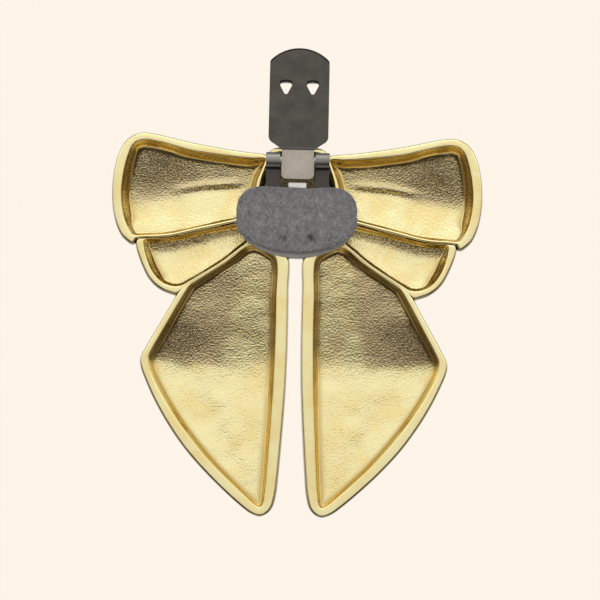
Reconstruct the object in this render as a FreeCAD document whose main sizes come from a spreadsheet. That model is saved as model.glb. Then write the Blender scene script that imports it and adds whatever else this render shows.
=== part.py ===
import FreeCAD, Part
import Sketcher
import math
import os

V = FreeCAD.Vector

# A hollow cast metal bow with a sprung clip on its back.  The clip opens upwards (+Z), the
# tails hang down, the hollow back of the bow faces -Y and its puffed front faces +Y.  The
# origin is the middle of the felt's gripping face.  All sizes are in millimetres.

DRIVING_SIZES = {
    # the casting
    "bow_width": 78.8,         # across the two upper loops
    "loop_rise": 17.9,         # top of the loops above the origin
    "tail_drop": 63.2,         # lowest point of the tails below the origin
    "rim_width": 1.8,          # wall seen edge-on around each hollow
    "loop_depth": 7.2,         # rear rim to the front of the loops and tails
    "front_wall": 1.5,         # metal left in front of each hollow
    "rim_flare": 0.3,          # how far the walls spread in front of the rim
    "knot_half_width": 8.9,
    "knot_top": 15.5,
    "knot_bottom": 8.1,        # below the origin
    "knot_depth": 10.0,
    "knot_rim": 0.95,
    "knot_hollow": 6.4,
    # the felt and its glue
    "felt_half_width": 12.75,
    "felt_top": 6.9,
    "felt_bottom": 7.2,
    "felt_thickness": 1.2,
    "pad_corner": 4.7,         # upper corners of the felt and of the plate
    "pad_waist": 0.2,          # below the origin: where the straight sides end
    "glue_film": 0.15,
    "glue_margin": 0.8,        # the felt's glue stops this far below its upper edge
    # the stamped plate that carries the clip
    "plate_half_width": 12.8,
    "plate_top": 6.4,
    "plate_bottom": 8.1,
    "plate_gauge": 0.8,
    # the clip
    "sheet_gauge": 0.8,
    "spring_gauge": 0.4,
    "hinge_height": 12.4,
    "pin_radius": 0.95,
    "running_clearance": 0.05,
    "heel_width": 7.0,
    "side_play": 0.2,
    "ear_width": 3.0,
    "ear_wrap": 268.0,         # degrees of roll around the pin
    "base_foot": 5.4,          # lower edge of the clip base, below the origin
    "base_corner": 1.5,
    "slot_floor": 3.0,         # where the slot between the two strips begins
    "heel_rise": 2.45,         # top of the heel above the hinge axis
    "heel_drop": 3.9,          # free edge of the heel below the hinge axis
    "heel_tilt": 13.0,         # degrees
    "sweep_clearance": 0.35,
    "flap_height": 24.4,       # tip of the flap above the hinge axis
    "flap_lean": 8.0,          # degrees
    "flap_half_width": 6.35,
    "flap_square_top": 21.6,   # where the straight sides end and the crown begins
    "crown_radius": 8.6,
    "crown_corner": 1.2,
    "crown_bevel": 0.45,
    "flap_shoulder": 4.45,     # where the full width begins
    "shoulder_round": 1.6,
    "neck_half_width": 3.75,
    "neck_height": 2.75,
    "bend_radius": 0.6,
    "heel_corner": 1.05,
    "heel_top_half_width": 3.35,
    "tooth_height": 16.75,     # root of the two teeth above the hinge axis
    "tooth_spacing": 5.7,
    "tooth_width": 3.1,
    "tooth_hole": 2.9,
    "tooth_reach": 2.0,
    "tooth_gauge": 0.5,
    "tooth_round": 0.45,
    "leaf_width": 3.8,
    "leaf_root": 2.0,          # below the origin
    "leaf_tip": 7.85,
    "leaf_rise": 0.65,         # how far the tip stands forward of the root
    "leaf_gap": 0.3,
    "rivet_radius": 0.8,
    "rivet_head": 1.3,
    "rivet_head_height": 0.3,
    "rivet_spacing": 9.6,
    "rivet_drop": 2.4,         # below the origin
}

os.makedirs("parts", exist_ok=True)
doc = FreeCAD.newDocument("clip_bow")
sheet = doc.addObject("Spreadsheet::Sheet", "Sizes")
for row, (word, number) in enumerate(DRIVING_SIZES.items(), start=1):
    sheet.set("A%d" % row, word)
    sheet.set("B%d" % row, str(number))
    sheet.setAlias("B%d" % row, word)
doc.recompute()


class Size:
    """A size held both as a number and as the sheet expression that gives it."""

    def __init__(self, value, text):
        self.value = value
        self.text = text

    @staticmethod
    def of(other):
        return other if isinstance(other, Size) else Size(float(other), repr(float(other)))

    def __add__(self, other):
        other = Size.of(other)
        return Size(self.value + other.value, "(%s + %s)" % (self.text, other.text))

    def __sub__(self, other):
        other = Size.of(other)
        return Size(self.value - other.value, "(%s - %s)" % (self.text, other.text))

    def __mul__(self, other):
        other = Size.of(other)
        return Size(self.value * other.value, "(%s * %s)" % (self.text, other.text))

    def __truediv__(self, other):
        other = Size.of(other)
        return Size(self.value / other.value, "(%s / %s)" % (self.text, other.text))

    def __neg__(self):
        return Size(-self.value, "(0 - %s)" % self.text)

    def tan(self):
        return Size(math.tan(math.radians(self.value)), "tan(%s * 1 deg)" % self.text)

    def cos(self):
        return Size(math.cos(math.radians(self.value)), "cos(%s * 1 deg)" % self.text)

    def sin(self):
        return Size(math.sin(math.radians(self.value)), "sin(%s * 1 deg)" % self.text)


def size(word):
    """The driving size of that name, read from the sheet."""
    return Size(float(sheet.get(word)), "Sizes." + word)


ZERO = Size.of(0)
OVERCUT = 1.0      # how far a cutting block stands out of what it cuts
TOLERANCE = 0.02   # for finding an edge by its place

# --- depths, counted along +Y from the felt's gripping face -----------------------------
felt_back = size("felt_thickness")
base_front = felt_back + size("glue_film")
base_back = base_front + size("sheet_gauge")
plate_back = base_back + size("plate_gauge")
rim_plane = plate_back + size("glue_film")

# --- the hinge: the ears grip the pin, the flap turns on it -----------------------------
hinge_y = base_front - size("pin_radius")
hinge_z = size("hinge_height")
bore_radius = size("pin_radius") + size("running_clearance")
knuckle_radius = bore_radius + size("sheet_gauge")
ear_radius = size("pin_radius") + size("sheet_gauge")
slot_half = size("heel_width") / 2 + size("side_play")
clip_half = slot_half + size("ear_width")


def bind(item, prop, measure):
    item.setExpression(prop, Size.of(measure).text)


def place(item, x, y, z, rotation=None):
    """Put an object at a point whose coordinates follow the sheet."""
    x, y, z = Size.of(x), Size.of(y), Size.of(z)
    item.Placement = FreeCAD.Placement(V(x.value, y.value, z.value), rotation or FreeCAD.Rotation())
    for axis, measure in (("x", x), ("y", y), ("z", z)):
        bind(item, "Placement.Base." + axis, measure)


def block(name, low, high):
    """A box between two corners, each a triple of sizes."""
    item = doc.addObject("Part::Box", name)
    for prop, near, far in zip(("Length", "Width", "Height"), low, high):
        bind(item, prop, Size.of(far) - near)
    place(item, *low)
    return item


def rod(name, radius, length, x, y, z, rotation):
    item = doc.addObject("Part::Cylinder", name)
    bind(item, "Radius", radius)
    bind(item, "Height", length)
    place(item, x, y, z, rotation)
    return item


ALONG_X = FreeCAD.Rotation(V(0, 1, 0), 90)
ALONG_Y = FreeCAD.Rotation(V(1, 0, 0), -90)


def fuse(name, items):
    item = doc.addObject("Part::MultiFuse", name)
    item.Shapes = items
    item.Refine = True
    return item


def cut(name, base, tool):
    item = doc.addObject("Part::Cut", name)
    item.Base = base
    item.Tool = tool
    item.Refine = True
    return item


# --- sketches on a body's own origin planes ---------------------------------------------

def new_body(name):
    body = doc.addObject("PartDesign::Body", name)
    body.Label = name
    return body


def new_sketch(body, name, role, offset=ZERO):
    sketch = body.newObject("Sketcher::SketchObject", name)
    plane = [item for item in body.Origin.OriginFeatures if item.Role == role][0]
    sketch.AttachmentSupport = (plane, [""])
    sketch.MapMode = "FlatFace"
    sketch.AttachmentOffset = FreeCAD.Placement(V(0, 0, offset.value), FreeCAD.Rotation())
    bind(sketch, "AttachmentOffset.Base.z", offset)
    return sketch


def arc_between(first, last, radius, bulge):
    """The arc of that radius from first to last; a positive bulge bends it to the left."""
    chord = last - first
    middle = (first + last) * 0.5
    reach = math.sqrt(max(radius ** 2 - (chord.Length / 2) ** 2, 0))
    left = V(-chord.y, chord.x, 0).normalize()
    centre = middle - left * reach * bulge
    top = centre + left * radius * bulge
    return Part.Arc(first, top, last)


COUNTER_CLOCKWISE = -1
CLOCKWISE = 1
CUT_LENGTH = Size.of(60)


def draw_circle(sketch, across, up, radius):
    across, up = Size.of(across), Size.of(up)
    edge = sketch.addGeometry(
        Part.Circle(V(across.value, up.value, 0), V(0, 0, 1), radius.value), False)
    for kind, measure in (("DistanceX", across), ("DistanceY", up)):
        number = sketch.addConstraint(Sketcher.Constraint(kind, -1, 1, edge, 3, measure.value))
        bind(sketch, "Constraints[%d]" % number, measure)
    number = sketch.addConstraint(Sketcher.Constraint("Radius", edge, radius.value))
    bind(sketch, "Constraints[%d]" % number, radius)


def draw(sketch, corners):
    """Draw a closed outline.  A corner is (across, up) or (across, up, radius, bulge), where
    the radius and bulge describe the arc that leads to the next corner."""
    points = [V(Size.of(c[0]).value, Size.of(c[1]).value, 0) for c in corners]
    first_edge = sketch.GeometryCount
    count = len(corners)
    ends = []
    for index, corner in enumerate(corners):
        here, following = points[index], points[(index + 1) % count]
        if len(corner) == 4:
            edge = arc_between(here, following, Size.of(corner[2]).value, corner[3])
            sketch.addGeometry(edge, False)
            clockwise = corner[3] > 0
            ends.append((2, 1) if clockwise else (1, 2))
        else:
            sketch.addGeometry(Part.LineSegment(here, following), False)
            ends.append((1, 2))
    for index, corner in enumerate(corners):
        edge, following = first_edge + index, first_edge + (index + 1) % count
        sketch.addConstraint(Sketcher.Constraint(
            "Coincident", edge, ends[index][1], following, ends[(index + 1) % count][0]))
        for kind, measure in (("DistanceX", corner[0]), ("DistanceY", corner[1])):
            number = sketch.addConstraint(Sketcher.Constraint(
                kind, -1, 1, edge, ends[index][0], Size.of(measure).value))
            bind(sketch, "Constraints[%d]" % number, measure)
        if len(corner) == 4:
            number = sketch.addConstraint(Sketcher.Constraint(
                "Radius", edge, Size.of(corner[2]).value))
            bind(sketch, "Constraints[%d]" % number, corner[2])


def extrude(body, kind, name, sketch, length, both_sides=False, reverse=False):
    """Add a Pad or a Pocket made from one sketch."""
    sketch.Visibility = False
    feature = body.newObject("PartDesign::" + kind, name)
    feature.Profile = sketch
    feature.Reversed = reverse
    if both_sides:
        feature.Midplane = True
    bind(feature, "Length", length)
    doc.recompute()
    return feature


def dress_edges(body, kind, prop, name, base, measure, wanted):
    """Dress the edges of the last feature whose middle passes the test."""
    edges = [
        "Edge%d" % (index + 1)
        for index, edge in enumerate(base.Shape.Edges)
        if wanted(edge, edge.valueAt((edge.FirstParameter + edge.LastParameter) / 2))
    ]
    feature = body.newObject("PartDesign::" + kind, name)
    feature.Base = (base, edges)
    bind(feature, prop, measure)
    doc.recompute()
    return feature


def round_edges(body, name, base, radius, wanted):
    return dress_edges(body, "Fillet", "Radius", name, base, radius, wanted)


def bevel_edges(body, name, base, width, wanted):
    return dress_edges(body, "Chamfer", "Size", name, base, width, wanted)


def along(edge, direction):
    """True where a straight edge runs parallel to that direction."""
    return (
        isinstance(edge.Curve, Part.Line)
        and abs(edge.tangentAt(edge.FirstParameter).dot(direction)) > 0.99
    )


# --- felt, glue and plate share one outline ---------------------------------------------

def pad_body(name, half_width, top, bottom, corner, waist, front, thickness):
    """A flat pad: level top with round corners, straight sides and an oval lower half."""
    upper_box = block(
        name + "_upper", (-half_width, front, -waist), (half_width, front + thickness, top))
    upper = doc.addObject("Part::Fillet", name + "_corners")
    upper.Base = upper_box
    doc.recompute()
    upper.Edges = [
        (index + 1, corner.value, corner.value)
        for index, edge in enumerate(upper_box.Shape.Edges)
        if along(edge, V(0, 1, 0)) and edge.CenterOfMass.z > 0
    ]
    oval = doc.addObject("Part::Ellipse", name + "_oval")
    bind(oval, "MajorRadius", half_width)
    bind(oval, "MinorRadius", bottom - waist)
    place(oval, 0, front, -waist, FreeCAD.Rotation(V(1, 0, 0), 90))
    slab = doc.addObject("Part::Extrusion", name + "_slab")
    slab.Base = oval
    slab.DirMode = "Custom"
    slab.Dir = V(0, 1, 0)
    slab.Solid = True
    bind(slab, "LengthFwd", thickness)
    lower = doc.addObject("Part::Common", name + "_lower")
    lower.Base = slab
    lower.Tool = block(
        name + "_half", (-half_width - OVERCUT, front - OVERCUT, -bottom - OVERCUT),
        (half_width + OVERCUT, front + thickness + OVERCUT, -waist))
    return fuse(name, [upper, lower])


felt_pad = pad_body(
    "felt_pad", size("felt_half_width"), size("felt_top"), size("felt_bottom"),
    size("pad_corner"), size("pad_waist"), ZERO, size("felt_thickness"))

plate_blank = pad_body(
    "plate_blank", size("plate_half_width"), size("plate_top"), size("plate_bottom"),
    size("pad_corner"), size("pad_waist"), base_back, size("plate_gauge"))

plate_glue_blank = pad_body(
    "plate_glue_blank", size("plate_half_width"), size("plate_top"), size("plate_bottom"),
    size("pad_corner"), size("pad_waist"), plate_back, size("glue_film"))

# The spring lies in a notch of the plate, open at the top, and the glue leaves it free.
leaf_half = size("leaf_width") / 2
notch_half = leaf_half + size("leaf_gap")
notch_floor = -(size("leaf_root") + size("leaf_gap"))


def spring_notch(name, front, back):
    return block(
        name, (-notch_half, front - OVERCUT, notch_floor),
        (notch_half, back + OVERCUT, size("plate_top") + OVERCUT))


def rivet_places():
    half = size("rivet_spacing") / 2
    return ((-half, -size("rivet_drop")), (half, -size("rivet_drop")))


def rivet_holes(name, radius, front, back):
    return fuse(name, [
        rod("%s_%d" % (name, side), radius, back - front + 2 * OVERCUT,
            x, front - OVERCUT, z, ALONG_Y)
        for side, (x, z) in enumerate(rivet_places())
    ])


mount_plate = cut("mount_plate", plate_blank, fuse("plate_openings", [
    spring_notch("plate_notch", base_back, plate_back),
    rivet_holes("plate_holes", size("rivet_radius"), base_back, plate_back),
]))

rivet_seat = size("rivet_head") + size("running_clearance")
plate_adhesive = cut("plate_adhesive", plate_glue_blank, fuse("glue_openings", [
    spring_notch("glue_notch", plate_back, rim_plane),
    rivet_holes("glue_holes", rivet_seat, plate_back, rim_plane),
]))

# --- clip base: one stamping with two strips whose ends are rolled into ears ------------

def around_pin(radius, degrees):
    """The point at that angle around the hinge axis, counted from +Y towards +Z."""
    return hinge_y + radius * degrees.cos(), hinge_z + radius * degrees.sin()


clip_base = new_body("clip_base")
wrap = size("ear_wrap")
side = new_sketch(clip_base, "base_side", "YZ_Plane")
draw(side, [
    (base_front, -size("base_foot")),
    (base_back, -size("base_foot")),
    (base_back, hinge_z, ear_radius, COUNTER_CLOCKWISE),
    around_pin(ear_radius, wrap / 2) + (ear_radius, COUNTER_CLOCKWISE),
    around_pin(ear_radius, wrap),
    around_pin(size("pin_radius"), wrap) + (size("pin_radius"), CLOCKWISE),
    around_pin(size("pin_radius"), wrap / 2) + (size("pin_radius"), CLOCKWISE),
    (base_front, hinge_z),
])
extrude(clip_base, "Pad", "base_stamping", side, clip_half * 2, both_sides=True)

slot = new_sketch(clip_base, "base_slot_outline", "XZ_Plane")
slot_top = hinge_z + ear_radius + OVERCUT
draw(slot, [
    (-slot_half, size("slot_floor")), (slot_half, size("slot_floor")),
    (slot_half, slot_top), (-slot_half, slot_top),
])
extrude(clip_base, "Pocket", "base_slot", slot, CUT_LENGTH, both_sides=True)

holes = new_sketch(clip_base, "base_rivet_outline", "XZ_Plane")
for across, up in rivet_places():
    draw_circle(holes, across, up, size("rivet_radius"))
drilled = extrude(clip_base, "Pocket", "base_rivet_holes", holes, CUT_LENGTH, both_sides=True)
round_edges(
    clip_base, "base_corners", drilled, size("base_corner"),
    lambda edge, middle: along(edge, V(0, 1, 0)) and middle.z < 0)

# --- flap: a sheet that leans back, steps over the pin and ends in a heel ---------------
lean, tilt, gauge = size("flap_lean"), size("heel_tilt"), size("sheet_gauge")


def plate_front(up):
    """Depth of the leaning plate's front face at that height above the hinge axis."""
    return hinge_y + size("pin_radius") + (up - size("heel_rise")) * lean.tan()


def plate_rear(up):
    return plate_front(up) + gauge / lean.cos()


def heel_face(distance, up):
    """Depth of a heel face that passes the hinge axis at that distance."""
    return hinge_y - distance / tilt.cos() - up * tilt.tan()


clip_flap = new_body("clip_flap")
profile = new_sketch(clip_flap, "flap_profile", "YZ_Plane")
heel_top, heel_foot = size("heel_rise"), -size("heel_drop")
step_under = heel_top - gauge
draw(profile, [
    (heel_face(knuckle_radius, heel_foot), hinge_z + heel_foot),
    (heel_face(bore_radius, heel_foot), hinge_z + heel_foot),
    (heel_face(bore_radius, step_under), hinge_z + step_under),
    (plate_rear(step_under), hinge_z + step_under),
    (plate_rear(size("flap_height")), hinge_z + size("flap_height")),
    (plate_front(size("flap_height")), hinge_z + size("flap_height")),
    (plate_front(heel_top), hinge_z + heel_top),
    (heel_face(knuckle_radius, heel_top), hinge_z + heel_top),
])
bent_sheet = extrude(
    clip_flap, "Pad", "flap_sheet", profile, size("flap_half_width") * 2, both_sides=True)
bent_sheet = round_edges(
    clip_flap, "flap_bend", bent_sheet, size("bend_radius"),
    lambda edge, middle: along(edge, V(1, 0, 0))
    and abs(middle.y - plate_front(heel_top).value) < TOLERANCE
    and abs(middle.z - (hinge_z + heel_top).value) < TOLERANCE)

outline = new_sketch(clip_flap, "flap_outline", "XZ_Plane")
half_width, neck = size("flap_half_width"), size("neck_half_width")
blank_margin = 4
outer = half_width + blank_margin
blank_foot = hinge_z + heel_foot - blank_margin
blank_top = hinge_z + size("flap_height") + blank_margin
draw(outline, [
    (-outer, blank_foot), (outer, blank_foot), (outer, blank_top), (-outer, blank_top),
])
right_side = [
    (size("heel_width") / 2, hinge_z + heel_foot),
    (size("heel_top_half_width"), hinge_z + heel_top),
    (neck, hinge_z + size("neck_height")),
    (half_width, hinge_z + size("flap_shoulder")),
    (half_width, hinge_z + size("flap_square_top")),
]
left_side = [(-across, up) for across, up in reversed(right_side)]
right_side[-1] += (size("crown_radius"), COUNTER_CLOCKWISE)
draw(outline, right_side + left_side)
blanked = extrude(clip_flap, "Pocket", "flap_blanking", outline, CUT_LENGTH, both_sides=True)


def corner_near(across, up):
    """A test for the short edges, parallel to Y, at both mirrored corners."""
    def wanted(edge, middle):
        return (
            along(edge, V(0, 1, 0)) and abs(abs(middle.x) - across.value) < TOLERANCE
            and abs(middle.z - up.value) < TOLERANCE
        )
    return wanted


blanked = bevel_edges(
    clip_flap, "flap_crown_bevel", blanked, size("crown_bevel"),
    lambda edge, middle: abs(middle.x) < TOLERANCE
    and middle.z > (hinge_z + size("flap_square_top")).value
    and abs(middle.y - plate_front(Size.of(middle.z) - hinge_z).value) < TOLERANCE)
blanked = round_edges(
    clip_flap, "flap_shoulders", blanked, size("shoulder_round"),
    corner_near(half_width, hinge_z + size("flap_shoulder")))
blanked = round_edges(
    clip_flap, "flap_crown_corners", blanked, size("crown_corner"),
    corner_near(half_width, hinge_z + size("flap_square_top")))
blanked = round_edges(
    clip_flap, "flap_heel_corners", blanked, size("heel_corner"),
    corner_near(size("heel_width") / 2, hinge_z + heel_foot))

knuckle = new_sketch(clip_flap, "flap_knuckle_outline", "YZ_Plane")
draw_circle(knuckle, hinge_y, hinge_z, knuckle_radius)
extrude(
    clip_flap, "Pad", "flap_knuckle", knuckle, size("heel_top_half_width") * 2, both_sides=True)
bore = new_sketch(clip_flap, "flap_bore_outline", "YZ_Plane")
draw_circle(bore, hinge_y, hinge_z, bore_radius)
extrude(clip_flap, "Pocket", "flap_bore", bore, CUT_LENGTH, both_sides=True)

# Each tooth is a tongue bent forward out of its own three-cornered hole.
tooth_root = size("tooth_height")
tooth_face = plate_front(tooth_root)
for number, side_sign in enumerate((-1, 1)):
    middle = size("tooth_spacing") * (side_sign / 2)
    half_tooth = size("tooth_width") / 2
    hole = new_sketch(clip_flap, "flap_hole_outline_%d" % number, "XZ_Plane")
    draw(hole, [
        (middle - half_tooth, hinge_z + tooth_root),
        (middle, hinge_z + tooth_root - size("tooth_hole")),
        (middle + half_tooth, hinge_z + tooth_root),
    ])
    punched = extrude(
        clip_flap, "Pocket", "flap_hole_%d" % number, hole, CUT_LENGTH, both_sides=True)
    round_edges(
        clip_flap, "flap_hole_round_%d" % number, punched, size("tooth_round"),
        lambda edge, spot: along(edge, V(0, 1, 0))
        and abs(spot.x - middle.value) < half_tooth.value + TOLERANCE
        and spot.z > (hinge_z + tooth_root - size("tooth_hole")).value - TOLERANCE
        and spot.z < (hinge_z + tooth_root).value + TOLERANCE)
    tooth = new_sketch(
        clip_flap, "flap_tooth_outline_%d" % number, "XY_Plane", hinge_z + tooth_root)
    draw(tooth, [
        (middle - half_tooth, tooth_face + gauge / 2),
        (middle, tooth_face - size("tooth_reach")),
        (middle + half_tooth, tooth_face + gauge / 2),
    ])
    extrude(clip_flap, "Pad", "flap_tooth_%d" % number, tooth, size("tooth_gauge"))

# --- leaf spring: flat under the felt, then rising towards the heel ---------------------
leaf_spring = new_body("leaf_spring")
leaf_side = new_sketch(leaf_spring, "leaf_side", "YZ_Plane")
leaf_back = base_back + size("spring_gauge")
draw(leaf_side, [
    (base_back, -size("leaf_root")),
    (leaf_back, -size("leaf_root")),
    (leaf_back, size("slot_floor")),
    (leaf_back - size("leaf_rise"), size("leaf_tip")),
    (base_back - size("leaf_rise"), size("leaf_tip")),
    (base_back, size("slot_floor")),
])
extrude(leaf_spring, "Pad", "leaf_strip", leaf_side, size("leaf_width"), both_sides=True)

# --- pin, rivets and the felt's glue ----------------------------------------------------
hinge_pin = rod(
    "hinge_pin", size("pin_radius"), clip_half * 2, -clip_half, hinge_y, hinge_z, ALONG_X)

clip_rivets = doc.addObject("Part::Compound", "clip_rivets")
clip_rivets.Links = [
    fuse("rivet_%d" % number, [
        rod("rivet_shank_%d" % number, size("rivet_radius"), plate_back - base_front,
            across, base_front, up, ALONG_Y),
        rod("rivet_head_%d" % number, size("rivet_head"), size("rivet_head_height"),
            across, plate_back, up, ALONG_Y),
    ])
    for number, (across, up) in enumerate(rivet_places())
]

felt_adhesive = block(
    "felt_adhesive", (-clip_half, felt_back, -size("base_foot")),
    (clip_half, base_front, size("felt_top") - size("glue_margin")))

# --- the bow: one casting, hollow from behind -------------------------------------------
# The lobes are sculpted, so each outline is a smooth closed curve through a few chosen
# points.  They are written for the proportions below and stretch with the driving sizes.
DRAWN_HALF_WIDTH = 39.4
DRAWN_RISE = 17.9
DRAWN_DROP = 63.2

# Left half of the bow.  Each lobe is a wall around its hollow; where two lobes meet their
# walls overlap, and what is left between the hollows is a ridge about 0.9 thick.
UPPER_LOOP = [
    (-7.2, 13.9), (-14.0, 14.45), (-22.0, 15.6), (-28.5, 17.15), (-32.8, 17.9),
    (-36.0, 16.8), (-38.1, 13.0), (-39.2, 7.5), (-39.0, 1.8), (-37.6, -3.0), (-35.6, -5.4),
    (-33.0, -5.8), (-28.0, -5.2), (-20.0, -3.45), (-13.0, -1.8), (-7.2, -0.4),
]
LOWER_LOOP = [
    (-7.2, 2.2), (-13.0, 0.85), (-20.0, -0.85), (-28.0, -2.55), (-32.6, -3.4),
    (-34.2, -5.4), (-33.4, -8.4), (-31.7, -11.9), (-29.8, -14.5), (-27.4, -15.9),
    (-24.4, -16.3), (-22.0, -15.6), (-17.8, -12.8), (-13.2, -9.8), (-7.2, -5.6),
]
TAIL = [
    (-1.65, -5.0), (-5.5, -1.6), (-10.6, -4.0), (-14.8, -7.3), (-19.3, -10.4),
    (-24.2, -13.7), (-26.3, -18.2), (-29.0, -23.0), (-31.6, -27.7), (-32.6, -30.6),
    (-31.6, -34.6), (-28.9, -40.0), (-24.4, -46.7), (-18.9, -53.1), (-12.7, -59.3),
    (-9.3, -62.2), (-6.3, -63.2), (-4.1, -61.6), (-3.2, -57.0), (-2.6, -49.0),
    (-1.95, -38.0), (-1.65, -26.0), (-1.65, -14.0),
]


def stretched(points):
    """Fit the drawn points to the driving width, rise and drop."""
    across = size("bow_width").value / 2 / DRAWN_HALF_WIDTH
    rise = size("loop_rise").value / DRAWN_RISE
    drop = size("tail_drop").value / DRAWN_DROP
    return [V(x * across, 0, z * (rise if z > 0 else drop)) for x, z in points]


def inset(points, distance):
    """Move every point inwards so that each side of the outline shifts by the distance."""
    area = sum(
        a.x * b.z - b.x * a.z for a, b in zip(points, points[1:] + points[:1])) / 2
    turn = 1 if area > 0 else -1
    moved = []
    for index, point in enumerate(points):
        before, after = points[index - 1], points[(index + 1) % len(points)]
        arriving, leaving = (point - before).normalize(), (after - point).normalize()
        normals = [V(-d.z, 0, d.x) * turn for d in (arriving, leaving)]
        bisector = (normals[0] + normals[1]).normalize()
        moved.append(point + bisector * (distance / bisector.dot(normals[0])))
    return moved


def shrunk(points, factor):
    """Draw every point towards the outline's middle."""
    middle = sum(points, V()) * (1 / len(points))
    return [middle + (point - middle) * factor for point in points]


def closed_curve(points, depth):
    curve = Part.BSplineCurve()
    curve.interpolate([V(p.x, depth, p.z) for p in points], PeriodicFlag=True)
    return Part.Wire([curve.toShape()])


def skin(sections):
    """A closed solid through a stack of outlines, given as (points, depth)."""
    return Part.makeLoft([closed_curve(points, depth) for points, depth in sections], True)


# Sections of a form: the share of its outline that is left at each share of its depth.
WIDEST_AT = 0.35
PUFFED = ((0.95, 0.65), (0.80, 0.88), (0.50, 1.0))
DISHED = ((0.95, 0.60), (0.82, 0.88), (0.55, 1.0))
MOUTH_SPREAD = 1.02


def lobe(points, depth):
    """A puffed form: it flares a little in front of its rim and rounds off to its front."""
    rear = rim_plane.value
    return skin([
        (points, rear), (inset(points, -size("rim_flare").value), rear + depth * WIDEST_AT),
    ] + [(shrunk(points, left), rear + depth * share) for left, share in PUFFED])


def hollow(points, rim, depth):
    """The matching hollow, open at the rear and drafted towards its floor."""
    rear = rim_plane.value
    mouth = inset(points, rim)
    return skin([
        (shrunk(mouth, MOUTH_SPREAD), rear - OVERCUT), (mouth, rear),
    ] + [(shrunk(mouth, left), rear + depth * share) for left, share in DISHED])


def mirrored(shape):
    return shape.mirror(V(0, 0, 0), V(1, 0, 0))


# Right half of the knot, in shares of its half width and of its top or bottom.
KNOT = [
    (0.52, 0.975), (0.75, 0.9), (0.88, 0.68), (0.97, 0.42), (1.0, 0.1), (0.9, -0.45),
    (0.58, -0.86),
]


def knot_points():
    half, top, bottom = (
        size("knot_half_width").value, size("knot_top").value, size("knot_bottom").value)
    right = [(half * across, up * (top if up > 0 else bottom)) for across, up in KNOT]
    left = [(-x, z) for x, z in reversed(right)]
    return [V(x, 0, z) for x, z in [(0, top)] + right + [(0, -bottom)] + left]


def build_casting():
    rim, depth = size("rim_width").value, size("loop_depth").value
    lobes = [stretched(points) for points in (UPPER_LOOP, LOWER_LOOP, TAIL)]
    solids = [lobe(points, depth) for points in lobes]
    hollows = [hollow(points, rim, depth - size("front_wall").value) for points in lobes]
    knot = lobe(knot_points(), size("knot_depth").value)
    knot_space = hollow(knot_points(), size("knot_rim").value, size("knot_hollow").value)
    sweep = max(
        math.hypot(size("heel_drop").value, (hinge_y - heel_face(face, heel_foot)).value)
        for face in (bore_radius, knuckle_radius))
    relief_half = slot_half.value + size("sweep_clearance").value
    relief = Part.makeCylinder(
        sweep + size("sweep_clearance").value, 2 * relief_half,
        V(-relief_half, hinge_y.value, hinge_z.value), V(1, 0, 0))
    body = knot.fuse(solids + [mirrored(solid) for solid in solids])
    for space in hollows + [mirrored(space) for space in hollows] + [knot_space, relief]:
        body = body.cut(space)
    return body


bow_casting = doc.addObject("Part::Feature", "bow_casting")
bow_casting.Shape = build_casting()
bow_casting.Placement = FreeCAD.Placement()

PIECES = {
    "bow_casting": bow_casting,
    "mount_plate": mount_plate,
    "plate_adhesive": plate_adhesive,
    "clip_base": clip_base,
    "clip_rivets": clip_rivets,
    "hinge_pin": hinge_pin,
    "clip_flap": clip_flap,
    "leaf_spring": leaf_spring,
    "felt_pad": felt_pad,
    "felt_adhesive": felt_adhesive,
}

doc.recompute()
for item in doc.Objects:
    faults = [state for state in item.State if state in ("Invalid", "Error")]
    if faults:
        raise RuntimeError("%s is %s" % (item.Name, faults))
for name, item in PIECES.items():
    item.Label = name
    if item.Shape.isNull() or not item.Shape.isValid():
        raise RuntimeError(name + " has no valid shape")
    box = item.Shape.BoundBox
    print("%-15s solids %d  volume %9.2f  x %6.2f %6.2f  y %6.2f %6.2f  z %6.2f %6.2f" % (
        name, len(item.Shape.Solids), item.Shape.Volume,
        box.XMin, box.XMax, box.YMin, box.YMax, box.ZMin, box.ZMax))
    item.Shape.exportStep("parts/%s.step" % name)
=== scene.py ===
"""Looks of a clip-on metal bow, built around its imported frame.

The bow is one hollow casting: two upper loops, two lower loops, two tails and a knot.  Its
back, with the sprung clip and the felt pad, faces -Y.  Sizes in the classes are millimetres
and become metres only where a mesh is made.
"""

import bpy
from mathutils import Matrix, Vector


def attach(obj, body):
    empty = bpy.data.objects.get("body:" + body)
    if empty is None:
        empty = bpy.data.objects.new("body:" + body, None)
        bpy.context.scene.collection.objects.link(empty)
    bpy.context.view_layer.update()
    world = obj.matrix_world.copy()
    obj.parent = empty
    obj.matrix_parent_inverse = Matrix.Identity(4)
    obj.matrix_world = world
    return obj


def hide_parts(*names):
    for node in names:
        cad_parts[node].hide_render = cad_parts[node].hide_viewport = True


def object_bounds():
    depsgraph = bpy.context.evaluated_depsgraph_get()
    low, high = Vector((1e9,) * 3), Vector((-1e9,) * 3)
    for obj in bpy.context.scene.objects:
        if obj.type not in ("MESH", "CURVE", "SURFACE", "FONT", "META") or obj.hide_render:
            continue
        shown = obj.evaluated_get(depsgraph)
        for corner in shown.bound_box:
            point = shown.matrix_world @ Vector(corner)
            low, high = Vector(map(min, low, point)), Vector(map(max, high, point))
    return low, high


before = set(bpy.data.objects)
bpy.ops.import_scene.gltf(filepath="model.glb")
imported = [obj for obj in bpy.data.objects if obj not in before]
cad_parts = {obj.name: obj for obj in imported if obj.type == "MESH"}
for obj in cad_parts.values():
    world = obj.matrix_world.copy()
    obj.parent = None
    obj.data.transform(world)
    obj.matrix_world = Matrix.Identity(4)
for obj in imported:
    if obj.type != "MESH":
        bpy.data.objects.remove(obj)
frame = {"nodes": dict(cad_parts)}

import copy
import logging
import math
from dataclasses import dataclass, field, replace
from enum import Enum
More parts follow.
